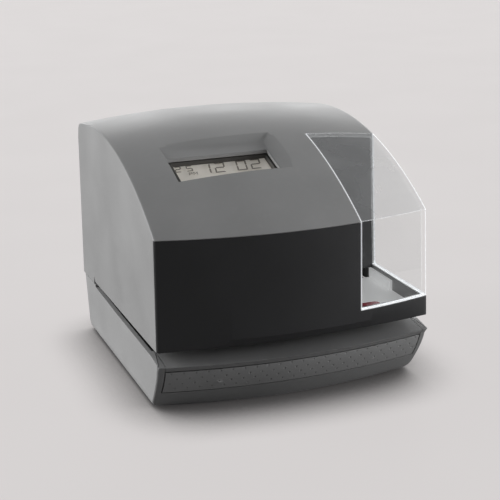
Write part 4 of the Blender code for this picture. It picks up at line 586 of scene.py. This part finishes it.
def loft(name, sections, collection):
    """One closed body through closed sections that all have as many points."""
    bm = bmesh.new()
    rings = [[bm.verts.new(point) for point in section] for section in sections]
    count = len(sections[0])
    for ring, following in zip(rings, rings[1:]):
        for index in range(count):
            after = (index + 1) % count
            bm.faces.new((ring[index], ring[after], following[after], following[index]))
    bm.faces.new(rings[0])
    bm.faces.new(rings[-1])
    return finish_mesh(bm, name, collection)


def box(name, x_span, y_span, z_span, collection):
    spans = (x_span, y_span, z_span)
    centre = [sum(span) / 2 for span in spans]
    size = [span[1] - span[0] for span in spans]
    bpy.ops.mesh.primitive_cube_add(size=1, location=centre)
    obj = bpy.context.object
    obj.name = name
    obj.data.transform(Matrix.Diagonal((*size, 1.0)))
    return place_in(obj, collection)


def cylinder(name, radius, span, centre, axis, collection, sides=ROUND_SIDES):
    """A cylinder along one axis from span[0] to span[1]; centre gives the other two places."""
    middle = (span[0] + span[1]) / 2
    places = {"X": (middle, *centre), "Y": (centre[0], middle, centre[1]), "Z": (*centre, middle)}
    bpy.ops.mesh.primitive_cylinder_add(
        vertices=sides, radius=radius, depth=span[1] - span[0],
        location=places[axis], rotation=AXIS_TURNS[axis])
    obj = bpy.context.object
    obj.name = name
    turn = obj.rotation_euler.to_matrix().to_4x4()
    obj.data.transform(turn)
    obj.rotation_euler = (0, 0, 0)
    smooth(obj)
    return place_in(obj, collection)


def plate(name, outline, depth_span, axis, collection):
    """A flat outline as a filled curve, extruded along X or Z, made a welded mesh."""
    curve = bpy.data.curves.new(name, "CURVE")
    curve.dimensions = "2D"
    curve.fill_mode = "BOTH"
    curve.extrude = (depth_span[1] - depth_span[0]) / 2
    loops = outline if isinstance(outline[0][0], (tuple, list)) else [outline]
    for loop in loops:
        spline = curve.splines.new("POLY")
        spline.points.add(len(loop) - 1)
        for point, (across, along) in zip(spline.points, loop):
            point.co = (across, along, 0, 1)
        spline.use_cyclic_u = True
    source = bpy.data.objects.new(name + "_curve", curve)
    CUTTERS.objects.link(source)
    middle = (depth_span[0] + depth_span[1]) / 2
    if axis == "X":
        source.matrix_world = Matrix(((0, 0, 1, middle), (1, 0, 0, 0), (0, 1, 0, 0), (0, 0, 0, 1)))
    elif axis == "Y":
        source.matrix_world = Matrix(((1, 0, 0, 0), (0, 0, -1, middle), (0, 1, 0, 0), (0, 0, 0, 1)))
    else:
        source.matrix_world = Matrix.Translation((0, 0, middle))
    bpy.context.view_layer.update()
    evaluated = source.evaluated_get(bpy.context.evaluated_depsgraph_get())
    mesh = bpy.data.meshes.new_from_object(evaluated)
    bm = bmesh.new()
    bm.from_mesh(mesh)
    bmesh.ops.remove_doubles(bm, verts=bm.verts, dist=WELD)
    bmesh.ops.recalc_face_normals(bm, faces=bm.faces)
    bm.to_mesh(mesh)
    bm.free()
    obj = place_in_new(name, mesh, collection)
    obj.matrix_world = source.matrix_world
    bpy.data.objects.remove(source, do_unlink=True)
    return obj


def combine(target, other, operation):
    modifier = target.modifiers.new(other.name, "BOOLEAN")
    modifier.operation = operation
    modifier.object = other
    modifier.solver = "EXACT"
    return target


def cut(target, *others):
    for other in others:
        combine(target, other, "DIFFERENCE")
    return target


def keep(target, other):
    return combine(target, other, "INTERSECT")


def join(target, *others):
    for other in others:
        combine(target, other, "UNION")
    return target


def smooth(obj):
    obj.data.shade_smooth()
    obj.data.set_sharp_from_angle(angle=SMOOTH_ANGLE)


def paint(obj, material):
    obj.data.materials.clear()
    obj.data.materials.append(material)
    return obj


def spread(first, last, count):
    return [first + (last - first) * step / (count - 1) for step in range(count)]


def cover_half_width(z, inset=0.0):
    rise = (z - BASE_TOP_Z) / (PEAK_Z - BASE_TOP_Z)
    return HALF_WIDTH - COVER_DRAFT * rise - inset


def slope_z(y):
    return PEAK_Z - ARC_RADIUS + math.sqrt(ARC_RADIUS ** 2 - (y - ARC_PEAK_Y) ** 2)


def bow_left(y):
    """Share of the front's bow that is left at this depth on the slope."""
    along = min(max((y - CORNER_Y) / (ARC_PEAK_Y - CORNER_Y), 0), 1)
    return (1 - along) ** 2


def front_bow(z):
    lift = min(max((z - THROAT_CEILING_Z) / SKIRT_BAND, 0), 1)
    return SKIRT_BOW + (FRONT_BOW - SKIRT_BOW) * lift


def cover_profile(station, front_inset, side_inset, top_inset, skirt_z):
    """One cross section of the cover's outside, or of its inside where insets are given."""
    fullness = 1 - station ** 2
    first_y = CORNER_Y + front_inset
    first_left = bow_left(first_y)
    points = []
    crease_z = slope_z(first_y) - top_inset
    fronts = (skirt_z, THROAT_CEILING_Z, THROAT_CEILING_Z + SKIRT_BAND, (THROAT_CEILING_Z + crease_z) / 2)
    for z in fronts:
        y = first_y - front_bow(z) * first_left * fullness
        points.append(Vector((station * cover_half_width(z, side_inset), y, z)))
    last_y = BACK_Y - REAR_EDGE_RADIUS
    for y in spread(first_y, last_y, SLOPE_COUNT):
        left = bow_left(y)
        side_z = slope_z(y) - top_inset
        height = side_z + CROWN * fullness * (1 - left)
        reach = station * cover_half_width(side_z, side_inset)
        points.append(Vector((reach, y - FRONT_BOW * fullness * left, height)))
    radius = REAR_EDGE_RADIUS - side_inset
    centre_z = slope_z(last_y) - top_inset - radius
    for step in range(1, ROUND_COUNT + 1):
        turn = math.pi / 2 * step / ROUND_COUNT
        side_z = centre_z + radius * math.cos(turn)
        height = side_z + CROWN * fullness
        reach = station * cover_half_width(side_z, side_inset)
        points.append(Vector((reach, last_y + radius * math.sin(turn), height)))
    points.append(Vector((station * cover_half_width(skirt_z, side_inset), BACK_Y - side_inset, skirt_z)))
    return points


def cover_solid(name, front_inset, side_inset, top_inset, skirt_z, collection):
    stations = spread(-1, 1, STATION_COUNT + 1)
    sections = [cover_profile(s, front_inset, side_inset, top_inset, skirt_z) for s in stations]
    return loft(name, sections, collection)


def outer_cover(name, collection):
    """The cover's outside with its long side edges rounded."""
    obj = cover_solid(name, 0, 0, 0, BASE_TOP_Z + GAP, collection)
    bm = bmesh.new()
    bm.from_mesh(obj.data)
    side_edges = []
    for edge in bm.edges:
        ends = edge.verts
        flat_end = any(len(face.verts) > QUAD_CORNERS for face in edge.link_faces)
        above = min(vert.co.z for vert in ends) > THROAT_CEILING_Z - GAP
        behind = min(vert.co.y for vert in ends) > BACK_Y - GAP
        if flat_end and above and not behind:
            side_edges.append(edge)
    bmesh.ops.bevel(bm, geom=side_edges, offset=COVER_EDGE_RADIUS, segments=2, profile=0.5,
                    affect="EDGES", clamp_overlap=True)
    bm.to_mesh(obj.data)
    bm.free()
    smooth(obj)
    return obj


def base_tuck(z):
    """How far the base's sides and back lie inside their widest line at this height."""
    lift = z - BASE_RIM_Z
    taper = BASE_TAPER * (1 - lift / (BASE_TOP_Z - BASE_RIM_Z))
    below = max(BASE_EDGE_RADIUS - lift, 0)
    return taper + BASE_EDGE_RADIUS - math.sqrt(BASE_EDGE_RADIUS ** 2 - below ** 2)


def chin_setback(z):
    """How far the front lies behind the lip's edge at this height."""
    groove_z = LIP_Z - LIP_FACE
    if z >= LIP_Z:
        return 0.0
    if z >= groove_z:
        return LIP_SETBACK * (LIP_Z - z) / LIP_FACE
    return LIP_SETBACK + CHIN_RUN * (1 - z / groove_z) ** CHIN_CURVE_SHARE


def corner_arc(before, corner, after):
    """Points of a rounded corner between two points, drawn towards the corner point."""
    points = []
    for step in range(ROUND_COUNT + 1):
        share = step / ROUND_COUNT
        first = before.lerp(corner, share)
        second = corner.lerp(after, share)
        points.append(first.lerp(second, share))
    return points


def front_y(z, x, inset=0.0):
    half = HALF_WIDTH - base_tuck(z)
    return NOSE_Y + chin_setback(z) + inset - NOSE_BOW * (1 - (x / half) ** 2)


def base_section(z, inset, front_inset):
    half = HALF_WIDTH - base_tuck(z) - inset
    rear = BACK_Y - base_tuck(z) - inset
    radius = max(BASE_PLAN_RADIUS - inset, NOSE_PLAN_RADIUS)
    nose = NOSE_PLAN_RADIUS
    corner_y = front_y(z, half, front_inset)
    side = corner_arc(Vector((half - radius, rear)), Vector((half, rear)), Vector((half, rear - radius)))
    inner_y = front_y(z, half - nose, front_inset)
    side += corner_arc(Vector((half, corner_y + nose)), Vector((half, corner_y)),
                       Vector((half - nose, inner_y)))
    for x in spread(half - nose, 0, STATION_COUNT // 2)[1:-1]:
        side.append(Vector((x, front_y(z, x, front_inset))))
    middle = [Vector((0, front_y(z, 0, front_inset)))]
    mirrored = [Vector((-point.x, point.y)) for point in reversed(side)]
    return [Vector((point.x, point.y, z)) for point in side + middle + mirrored]


def base_levels():
    groove_z = LIP_Z - LIP_FACE
    lower = [BASE_RIM_Z + (groove_z - BASE_RIM_Z) * share for share in BASE_LEVEL_SHARES]
    return lower + [LIP_Z + GAP / 2, BASE_TOP_Z]


def base_solid(name, collection):
    """The base's whole outside, with its upper edge cut along the throat floor."""
    obj = loft(name, [base_section(z, 0, 0) for z in base_levels()], collection)
    smooth(obj)
    return cut(obj, throat_cutter())


def throat_profile(station):
    fullness = 1 - station ** 2
    x = station * (HALF_WIDTH + OVERRUN)
    ahead = -BACK_Y - OVERRUN
    points = (
        (ahead, LIP_Z),
        (NOSE_Y + GAP - NOSE_BOW * fullness, LIP_Z),
        (APRON_Y - NOSE_BOW * fullness, APRON_Z),
        (RAIL_MIDDLE_Y, RAIL_MIDDLE_Z),
        (THROAT_END_Y - THROAT_NOTCH, RAIL_END_Z),
        (THROAT_END_Y, BASE_TOP_Z + OVERRUN),
        (ahead, BASE_TOP_Z + OVERRUN),
    )
    return [Vector((x, y, z)) for y, z in points]


def throat_cutter():
    stations = spread(-1, 1, STATION_COUNT + 1)
    return loft("throat_cutter", [throat_profile(s) for s in stations], CUTTERS)


def front_region(name, levels, half_at, y_at, thickness_at, extra, collection):
    """Everything ahead of a bowed back face, which runs out to the side's skin at both ends."""
    sections = []
    reach = HALF_WIDTH + OVERRUN
    ahead = -BACK_Y - OVERRUN
    for z in levels:
        half = half_at(z)
        thickness = thickness_at(z) + extra
        skin_x = half - SIDE_SKIN + extra
        full_x = half - SIDE_SKIN - CHIN_THICKNESS + extra
        end_y = y_at(z, half) + NOSE_PLAN_RADIUS + extra
        right = [Vector((reach, ahead, z)), Vector((reach, end_y, z)), Vector((skin_x, end_y, z))]
        for x in spread(full_x, 0, STATION_COUNT // 2)[:-1]:
            right.append(Vector((x, y_at(z, x) + thickness, z)))
        middle = [Vector((0, y_at(z, 0) + thickness, z))]
        left = [Vector((-point.x, point.y, z)) for point in reversed(right)]
        sections.append(right + middle + left)
    return loft(name, sections, collection)


def chin_region(name, extra, collection):
    groove_z = LIP_Z - LIP_FACE
    levels = [BASE_RIM_Z - SHORT_OVERRUN]
    levels += [BASE_RIM_Z + (groove_z - BASE_RIM_Z) * share for share in BASE_LEVEL_SHARES]
    apron_z = LIP_Z - LIP_FACE / 2 - extra
    levels += [apron_z - GAP / 2, apron_z, BASE_TOP_Z + OVERRUN]

    def level_half(z):
        return HALF_WIDTH - base_tuck(max(z, BASE_RIM_Z))

    def level_y(z, x):
        return front_y(max(z, BASE_RIM_Z), x)

    def level_thickness(z):
        return APRON_DEPTH if z >= apron_z else CHIN_THICKNESS

    return front_region(name, levels, level_half, level_y, level_thickness, extra, collection)


def make_chin_moulding(material):
    obj = base_solid("chin_moulding", PARTS)
    keep(obj, chin_region("chin_region", 0, CUTTERS))
    bay = box("bar_bay_cutter", (-SEAM_X, SEAM_X), (-BACK_Y - OVERRUN, LIP_REAR_Y + OVERRUN),
              (BAR_BOTTOM_Z - BAR_LOWER_GAP, BASE_TOP_Z + OVERRUN), CUTTERS)
    cut(obj, bay)
    return paint(obj, material)


def make_throat_lip(material):
    obj = base_solid("throat_lip", PARTS)
    strip = box("lip_strip_cutter", (-SEAM_X + SEAM_GAP, SEAM_X - SEAM_GAP),
                (-BACK_Y - OVERRUN, LIP_REAR_Y), (LIP_Z - LIP_FACE, BASE_TOP_Z + OVERRUN), CUTTERS)
    keep(obj, strip)
    return paint(obj, material)


def make_push_bar(material):
    obj = base_solid("push_bar", PARTS)

    def bar_half(z):
        return HALF_WIDTH - base_tuck(z)

    def bar_thickness(z):
        return BAR_THICKNESS

    levels = spread(BAR_BOTTOM_Z - BAR_THICKNESS, BAR_TOP_Z + BAR_THICKNESS / 4, BAR_LEVEL_COUNT)
    keep(obj, front_region("bar_region", levels, bar_half, front_y, bar_thickness, 0, CUTTERS))
    reach = SEAM_X - BAR_END_GAP
    keep(obj, box("bar_span_cutter", (-reach, reach), (-BACK_Y - OVERRUN, 0), (BAR_BOTTOM_Z, BAR_TOP_Z),
                  CUTTERS))
    middle_z = (BAR_TOP_Z + BAR_BOTTOM_Z) / 2
    for side in (-1, 1):
        start = front_y(middle_z, BAR_GUIDE_X) + BAR_THICKNESS / 2
        guide = cylinder("bar_guide_tool", BAR_GUIDE_RADIUS, (start, BAR_GUIDE_END_Y),
                         (side * BAR_GUIDE_X, middle_z), "Y", CUTTERS, SMALL_SIDES)
        join(obj, guide)
    return paint(obj, material)


CREASE_Z = slope_z(CORNER_Y)


def panel_region(name, extra, collection):
    """The space of the dark front panel: it thins out at the crease and at both sides."""
    last = CREASE_Z - GAP * 2 + extra
    levels = [THROAT_CEILING_Z - OVERRUN, THROAT_CEILING_Z, THROAT_CEILING_Z + SKIRT_BAND,
              (THROAT_CEILING_Z + last) / 2, last - PANEL_THICKNESS, last]

    def level_half(z):
        return cover_half_width(max(z, THROAT_CEILING_Z))

    def level_y(z, x):
        half = cover_half_width(max(z, THROAT_CEILING_Z))
        return CORNER_Y - front_bow(z) * (1 - (x / half) ** 2)

    def level_thickness(z):
        return GAP if z >= last else PANEL_THICKNESS

    return front_region(name, levels, level_half, level_y, level_thickness, extra, collection)


def window_box(name, extra, collection):
    return box(name, (WINDOW_LEFT_X - extra, HALF_WIDTH + OVERRUN),
               (-BACK_Y - OVERRUN, WINDOW_REAR_Y + extra), (WINDOW_SILL_Z - extra, HEIGHT + OVERRUN),
               collection)


def floor_z(y):
    return RECESS_FLOOR_Z + (y - RECESS_FLOOR_FRONT_Y) * math.tan(RECESS_TILT)


def recess_loft(name, margin, collection):
    """The recess as a loft from its tilted floor to a flared rim above the slope."""
    left = RECESS_FLOOR_LEFT_X - margin
    right = RECESS_FLOOR_RIGHT_X + margin
    front = RECESS_FLOOR_FRONT_Y - margin
    rear = RECESS_FLOOR_REAR_Y + margin
    corners = ((left, front), (right, front), (right, rear), (left, rear))
    floor = [Vector((x, y, floor_z(y) - margin)) for x, y in corners]
    rim_left = left - RECESS_FLARE_LEFT
    rim_right = right + RECESS_FLARE_RIGHT
    rim_front = front - RECESS_FLARE_FRONT
    rim_rear = rear + RECESS_FLARE_REAR
    corners = ((rim_left, rim_front), (rim_right, rim_front), (rim_right, rim_rear), (rim_left, rim_rear))
    rim = [Vector((x, y, floor_z(y) + RECESS_RISE)) for x, y in corners]
    return loft(name, [floor, rim], collection)


def make_cover_shell(material):
    obj = outer_cover("cover_shell", PARTS)
    inside = cover_solid("cover_inside_cutter", PANEL_THICKNESS + GAP + COVER_WALL, COVER_WALL,
                         COVER_WALL, BASE_TOP_Z - OVERRUN, CUTTERS)
    cut(inside, recess_loft("recess_wall_tool", RECESS_WALL, CUTTERS))
    cut(obj, inside)
    cut(obj, panel_region("panel_seat_cutter", GAP, CUTTERS))
    cut(obj, window_box("window_seat_cutter", GAP, CUTTERS))
    cut(obj, recess_loft("recess_cutter", 0, CUTTERS))
    cut(obj, box("display_opening_cutter", (DISPLAY_LEFT_X, DISPLAY_RIGHT_X),
                 (DISPLAY_FRONT_Y, DISPLAY_REAR_Y), (RECESS_FLOOR_Z - OVERRUN, HEIGHT + OVERRUN),
                 CUTTERS))
    cut(obj, skirt_cutter())
    cut(obj, cylinder("lock_hole_cutter", LOCK_HOUSING_RADIUS + GAP,
                      (HALF_WIDTH - COVER_WALL * 3, HALF_WIDTH + OVERRUN), (LOCK_Y, LOCK_Z), "X", CUTTERS,
                      ROUND_SIDES))
    return paint(obj, material)


def skirt_cutter():
    """Lifts the cover's lower edge clear of the throat, with a small notch at its rear end."""
    low = BASE_TOP_Z - OVERRUN
    outline = (
        (-BACK_Y - OVERRUN, low),
        (THROAT_END_Y, low),
        (THROAT_END_Y, THROAT_CEILING_Z + THROAT_NOTCH),
        (THROAT_END_Y - THROAT_NOTCH, THROAT_CEILING_Z),
        (-BACK_Y - OVERRUN, THROAT_CEILING_Z),
    )
    reach = HALF_WIDTH + OVERRUN
    return plate("skirt_cutter", outline, (-reach, reach), "X", CUTTERS)


def make_front_panel(material):
    obj = outer_cover("front_panel", PARTS)
    keep(obj, panel_region("panel_region", 0, CUTTERS))
    cut(obj, window_box("panel_window_cutter", GAP, CUTTERS))
    cut(obj, skirt_cutter())
    return paint(obj, material)


def make_window(material):
    obj = outer_cover("window", PARTS)
    cut(obj, cover_solid("window_inside_cutter", WINDOW_THICKNESS, WINDOW_THICKNESS, WINDOW_THICKNESS,
                         BASE_TOP_Z - OVERRUN, CUTTERS))
    keep(obj, window_box("window_region", 0, CUTTERS))
    return paint(obj, material)


FINISHES = {
    "light_grey_abs": lambda: moulded("light_grey", LIGHT_GREY, 0.40),
    "dark_grey_abs": lambda: moulded("dark_grey", DARK_GREY, 0.42),
    # Painted light: the bar is lighter than the same dark grey plastic elsewhere
    "bar": lambda: dimpled("bar", BAR_LIT_GREY),
    "panel_charcoal": lambda: moulded("charcoal", CHARCOAL, 0.38, specular=0.35),
    # Painted shade: the chamber wall is darker than the same dark grey plastic elsewhere
    "chamber": lambda: moulded("chamber", CHAMBER_PAINTED_SHADE, 0.5),
    "black_plastic": lambda: moulded("black", BLACK, 0.45),
    "clear_plastic": lambda: clear_moulding("clear", (0.997, 1.0, 1.0)),
    "white_plastic": lambda: moulded("off_white", OFF_WHITE, 0.5),
    "red_plastic": lambda: moulded("red", RED, 0.3),
    "plated_steel": lambda: plated("plated", STEEL),
    "black_rubber": lambda: rubbery("rubber", RUBBER),
    "green_board": lambda: board("board", BOARD_GREEN),
    # The tray's glow is painted light, standing for the light that falls into the chamber through the
    # window
    "tray": lambda: moulded("tray", OFF_WHITE, 0.5, glow=0.28),
    # The display face has a painted glow that brightens it beyond the lamps' light
    "display_glass": lambda: moulded("lcd_face", LCD, 0.35, wear=0.0, glow=0.16),
    "lcd_bar": lambda: moulded("lcd_bar", LCD_BAR, 0.4, wear=0.0),
    "bezel": lambda: moulded("bezel", BEZEL, 0.45),
    # Painted light: the base shell is lighter than the same light grey plastic of the cover
    "base": lambda: moulded("base_lit_grey", BASE_LIT_GREY, 0.40),
    "battery_sleeve": lambda: moulded("sleeve", SLEEVE, 0.2),
}


def finish_nodes():
    finishes = {slot: make() for slot, make in FINISHES.items()}
    for node in cad_nodes.values():
        for held in node.material_slots:
            held.material = finishes[held.material.name.split(".")[0]]
    for name, finish in (("chamber_wall", "chamber"), ("chamber_tray", "tray"), ("base_shell", "base")):
        for held in cad_nodes[name].material_slots:
            held.material = finishes[finish]
    return finishes


def make_floor():
    """A mid-grey table that the camera sees as pale, with a painted contact shadow that darkens it where
    the machine stands close over it.
    """
    half = FLOOR_HALF
    builder = bmesh.new()
    for x, y in ((-half, -half), (half, -half), (half, half), (-half, half)):
        builder.verts.new((x, y, 0.0))
    builder.faces.new(builder.verts)
    mesh = bpy.data.meshes.new("floor")
    builder.to_mesh(mesh)
    builder.free()
    floor = bpy.data.objects.new("floor", mesh)
    scene.collection.objects.link(floor)
    graph = Graph("floor_finish")
    cloud = graph.noise(9.0, 3.0)
    body = graph.mix(cloud, FLOOR_DARK, FLOOR_LIGHT)
    gloss = graph.spread(cloud, 0.3, 0.7, 0.5, 0.6)
    table = graph.surface(Base_Color=body, Roughness=gloss, Specular_IOR_Level=0.2)
    # Painted shadow: ambient occlusion darkens the pale floor where the machine stands close over it
    painted_shadow_ao = graph.node("AmbientOcclusion", samples=12)
    painted_shadow_ao.inputs["Distance"].default_value = SHADOW_REACH
    open_share = graph.spread(painted_shadow_ao.outputs["AO"], 0.3, 0.9, 0.06, 1.0)
    paper_with_painted_shadow = graph.mix(open_share, (0.0, 0.0, 0.0, 1.0), PAPER)
    glow = graph.node("Emission")
    graph.plug(glow.inputs[0], paper_with_painted_shadow)
    seen = graph.math("MULTIPLY", graph.node("LightPath").outputs["Is Camera Ray"], PAPER_SHARE)
    whole = graph.node("MixShader")
    graph.plug(whole.inputs[0], seen)
    graph.plug(whole.inputs[1], table.outputs[0])
    graph.plug(whole.inputs[2], glow.outputs[0])
    graph.plug(graph.output.inputs[0], whole.outputs[0])
    mesh.materials.append(graph.material)


def make_world():
    world = bpy.data.worlds.new("world")
    scene.world = world
    world.use_nodes = True
    tree = world.node_tree
    tree.nodes.clear()
    path = tree.nodes.new("ShaderNodeLightPath")
    dim = tree.nodes.new("ShaderNodeBackground")
    dim.inputs[0].default_value = SKY
    dim.inputs[1].default_value = SKY_LEVEL
    pale = tree.nodes.new("ShaderNodeBackground")
    pale.inputs[0].default_value = BACKDROP
    blend = tree.nodes.new("ShaderNodeMixShader")
    tree.links.new(path.outputs["Is Camera Ray"], blend.inputs[0])
    tree.links.new(dim.outputs[0], blend.inputs[1])
    tree.links.new(pale.outputs[0], blend.inputs[2])
    out = tree.nodes.new("ShaderNodeOutputWorld")
    tree.links.new(blend.outputs[0], out.inputs[0])


def make_lamp(name, place, size, power):
    data = bpy.data.lights.new(name, "AREA")
    data.shape = "RECTANGLE"
    data.size, data.size_y = size
    data.energy = power
    lamp = bpy.data.objects.new(name, data)
    scene.collection.objects.link(lamp)
    lamp.location = place
    lamp.rotation_euler = (Vector(LAMP_AIM) - Vector(place)).to_track_quat("-Z", "Y").to_euler()


def settle(obj, name, material, replaced, body):
    """The finished mesh of a fine piece, which stands for its CAD node and rides where that rides."""
    bpy.context.view_layer.update()
    evaluated = obj.evaluated_get(bpy.context.evaluated_depsgraph_get())
    mesh = bpy.data.meshes.new_from_object(evaluated)
    mesh.transform(obj.matrix_world)
    made = bpy.data.objects.new(name, mesh)
    scene.collection.objects.link(made)
    smooth(made)
    paint(made, material)
    bpy.data.objects.remove(obj, do_unlink=True)
    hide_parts(replaced)
    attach(made, body)
    return made


def mesh_piece(name, points, faces, material, body):
    """A piece of the looks alone, from its points and faces."""
    mesh = bpy.data.meshes.new(name)
    mesh.from_pydata([tuple(point) for point in points], [], faces)
    builder = bmesh.new()
    builder.from_mesh(mesh)
    bmesh.ops.recalc_face_normals(builder, faces=builder.faces)
    builder.to_mesh(mesh)
    builder.free()
    made = bpy.data.objects.new(name, mesh)
    scene.collection.objects.link(made)
    paint(made, material)
    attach(made, body)
    return made


def on_display(x, y, lift):
    """A point over the display's tilted face."""
    return Vector((x, y, floor_z(y) - DISPLAY_DROP + lift))


def prism(points, faces, outline, low, high):
    """Adds a flat body that lies along the display's face."""
    start = len(points)
    count = len(outline)
    for lift in (low, high):
        points.extend(on_display(x, y, lift) for x, y in outline)
    faces.append(tuple(range(start + count - 1, start - 1, -1)))
    faces.append(tuple(range(start + count, start + 2 * count)))
    for i in range(count):
        j = (i + 1) % count
        faces.append((start + i, start + j, start + count + j, start + count + i))


def segment_outlines(wide, high, bar):
    """The seven bars of a digit, with mitred ends, as (across, down) outlines."""
    gap = SEGMENT_GAP
    middle = high / 2
    half = bar / 2
    top = ((gap, 0), (wide - gap, 0), (wide - bar - gap, bar), (bar + gap, bar))
    left = ((0, gap), (bar, bar + gap), (bar, middle - half - gap), (half, middle - gap),
            (0, middle - half))
    across = ((half + gap, middle), (bar + gap, middle - half), (wide - bar - gap, middle - half),
              (wide - half - gap, middle), (wide - bar - gap, middle + half), (bar + gap, middle + half))
    return {
        "top": top,
        "bottom": tuple((a, high - b) for a, b in top),
        "middle": across,
        "upper left": left,
        "lower left": tuple((a, high - b) for a, b in left),
        "upper right": tuple((wide - a, b) for a, b in left),
        "lower right": tuple((wide - a, high - b) for a, b in left),
    }


DIGIT_BARS = {
    "0": ("top", "upper left", "upper right", "lower left", "lower right", "bottom"),
    "1": ("upper right", "lower right"),
    "2": ("top", "upper right", "middle", "lower left", "bottom"),
    "5": ("top", "upper left", "middle", "lower right", "bottom"),
}
LETTER_STROKES = {
    "P": (((0, 0), (0, 1)), ((0, 0), (0.9, 0)), ((0.9, 0), (0.9, 0.52)), ((0, 0.52), (0.9, 0.52))),
    "M": (((0, 0), (0, 1)), ((0, 0), (0.5, 0.55)), ((1, 0), (0.5, 0.55)), ((1, 0), (1, 1))),
}


def glass_spot(across, down):
    """From shares of the glass, left to right and rear to front, to x and y."""
    x = GLASS_LEFT_X + across * (GLASS_RIGHT_X - GLASS_LEFT_X)
    return x, GLASS_REAR_Y + down * (GLASS_FRONT_Y - GLASS_REAR_Y)


def make_digits(material):
    """The day, the half of the day and the time, as slanted bars in the liquid crystal."""
    points = []
    faces = []
    run = GLASS_RIGHT_X - GLASS_LEFT_X
    for digit, left, top, wide, high, bar in LCD_DIGITS:
        x0, y0 = glass_spot(left, top)
        outlines = segment_outlines(wide * run, high, bar)
        for key in DIGIT_BARS[digit]:
            outline = [(x0 + a - b * DIGIT_SLANT, y0 - b) for a, b in outlines[key]]
            prism(points, faces, outline, DIGIT_LOW, DIGIT_HIGH)
    for letter, left, top, wide, high in LCD_LETTERS:
        x0, y0 = glass_spot(left, top)
        for (a0, b0), (a1, b1) in LETTER_STROKES[letter]:
            start = Vector((x0 + a0 * wide - b0 * high * DIGIT_SLANT, y0 - b0 * high))
            end = Vector((x0 + a1 * wide - b1 * high * DIGIT_SLANT, y0 - b1 * high))
            along = (end - start).normalized() * LETTER_STROKE / 2
            side = Vector((-along.y, along.x))
            outline = [tuple(spot) for spot in (start - along - side, end + along - side,
                                                end + along + side, start - along + side)]
            prism(points, faces, outline, DIGIT_LOW, DIGIT_HIGH)
    mesh_piece("lcd_digits", points, faces, material, "base")


def make_bezel(material):
    """The raised frame round the display's glass, with a bevelled inner edge."""
    points = []
    faces = []
    rings = (
        (BEZEL_OUTER, 0),
        (BEZEL_OUTER, BEZEL_HEIGHT - BEZEL_BEVEL),
        (tuple(side + step for side, step in zip(BEZEL_OUTER, BEZEL_STEPS)), BEZEL_HEIGHT),
        (tuple(side - step for side, step in zip(BEZEL_INNER, BEZEL_STEPS)), BEZEL_HEIGHT),
        (BEZEL_INNER, BEZEL_HEIGHT - BEZEL_BEVEL),
        (BEZEL_INNER, 0),
    )
    for (left, right, front, rear), lift in rings:
        corners = ((left, front), (right, front), (right, rear), (left, rear))
        points.extend(on_display(x, y, lift) for x, y in corners)
    count = len(rings)
    for ring in range(count):
        after = (ring + 1) % count
        for i in range(QUAD_CORNERS):
            j = (i + 1) % QUAD_CORNERS
            faces.append((ring * QUAD_CORNERS + i, ring * QUAD_CORNERS + j,
                          after * QUAD_CORNERS + j, after * QUAD_CORNERS + i))
    mesh_piece("lcd_bezel", points, faces, material, "base")


def make_fine_pieces(finishes):
    light = finishes["light_grey_abs"]
    dark = finishes["dark_grey_abs"]
    panel = finishes["panel_charcoal"]
    clear = finishes["clear_plastic"]
    settle(make_cover_shell(light), "fine_cover", light, "cover_shell", "cover")
    settle(make_front_panel(panel), "fine_panel", panel, "front_panel", "cover")
    settle(make_window(clear), "fine_window", clear, "window", "cover")
    settle(make_chin_moulding(dark), "fine_chin", dark, "chin_moulding", "base")
    settle(make_throat_lip(dark), "fine_lip", dark, "throat_lip", "base")
    settle(make_push_bar(dark), "fine_bar", finishes["bar"], "push_bar", "push_bar")
    make_bezel(finishes["bezel"])
    make_digits(finishes["lcd_bar"])
    for cutter in list(CUTTERS.objects):
        bpy.data.objects.remove(cutter, do_unlink=True)


make_camera()
make_floor()
make_world()
for lamp_name, (place, size, power) in LAMPS.items():
    make_lamp(lamp_name, place, size, power)
finishes = finish_nodes()
make_fine_pieces(finishes)
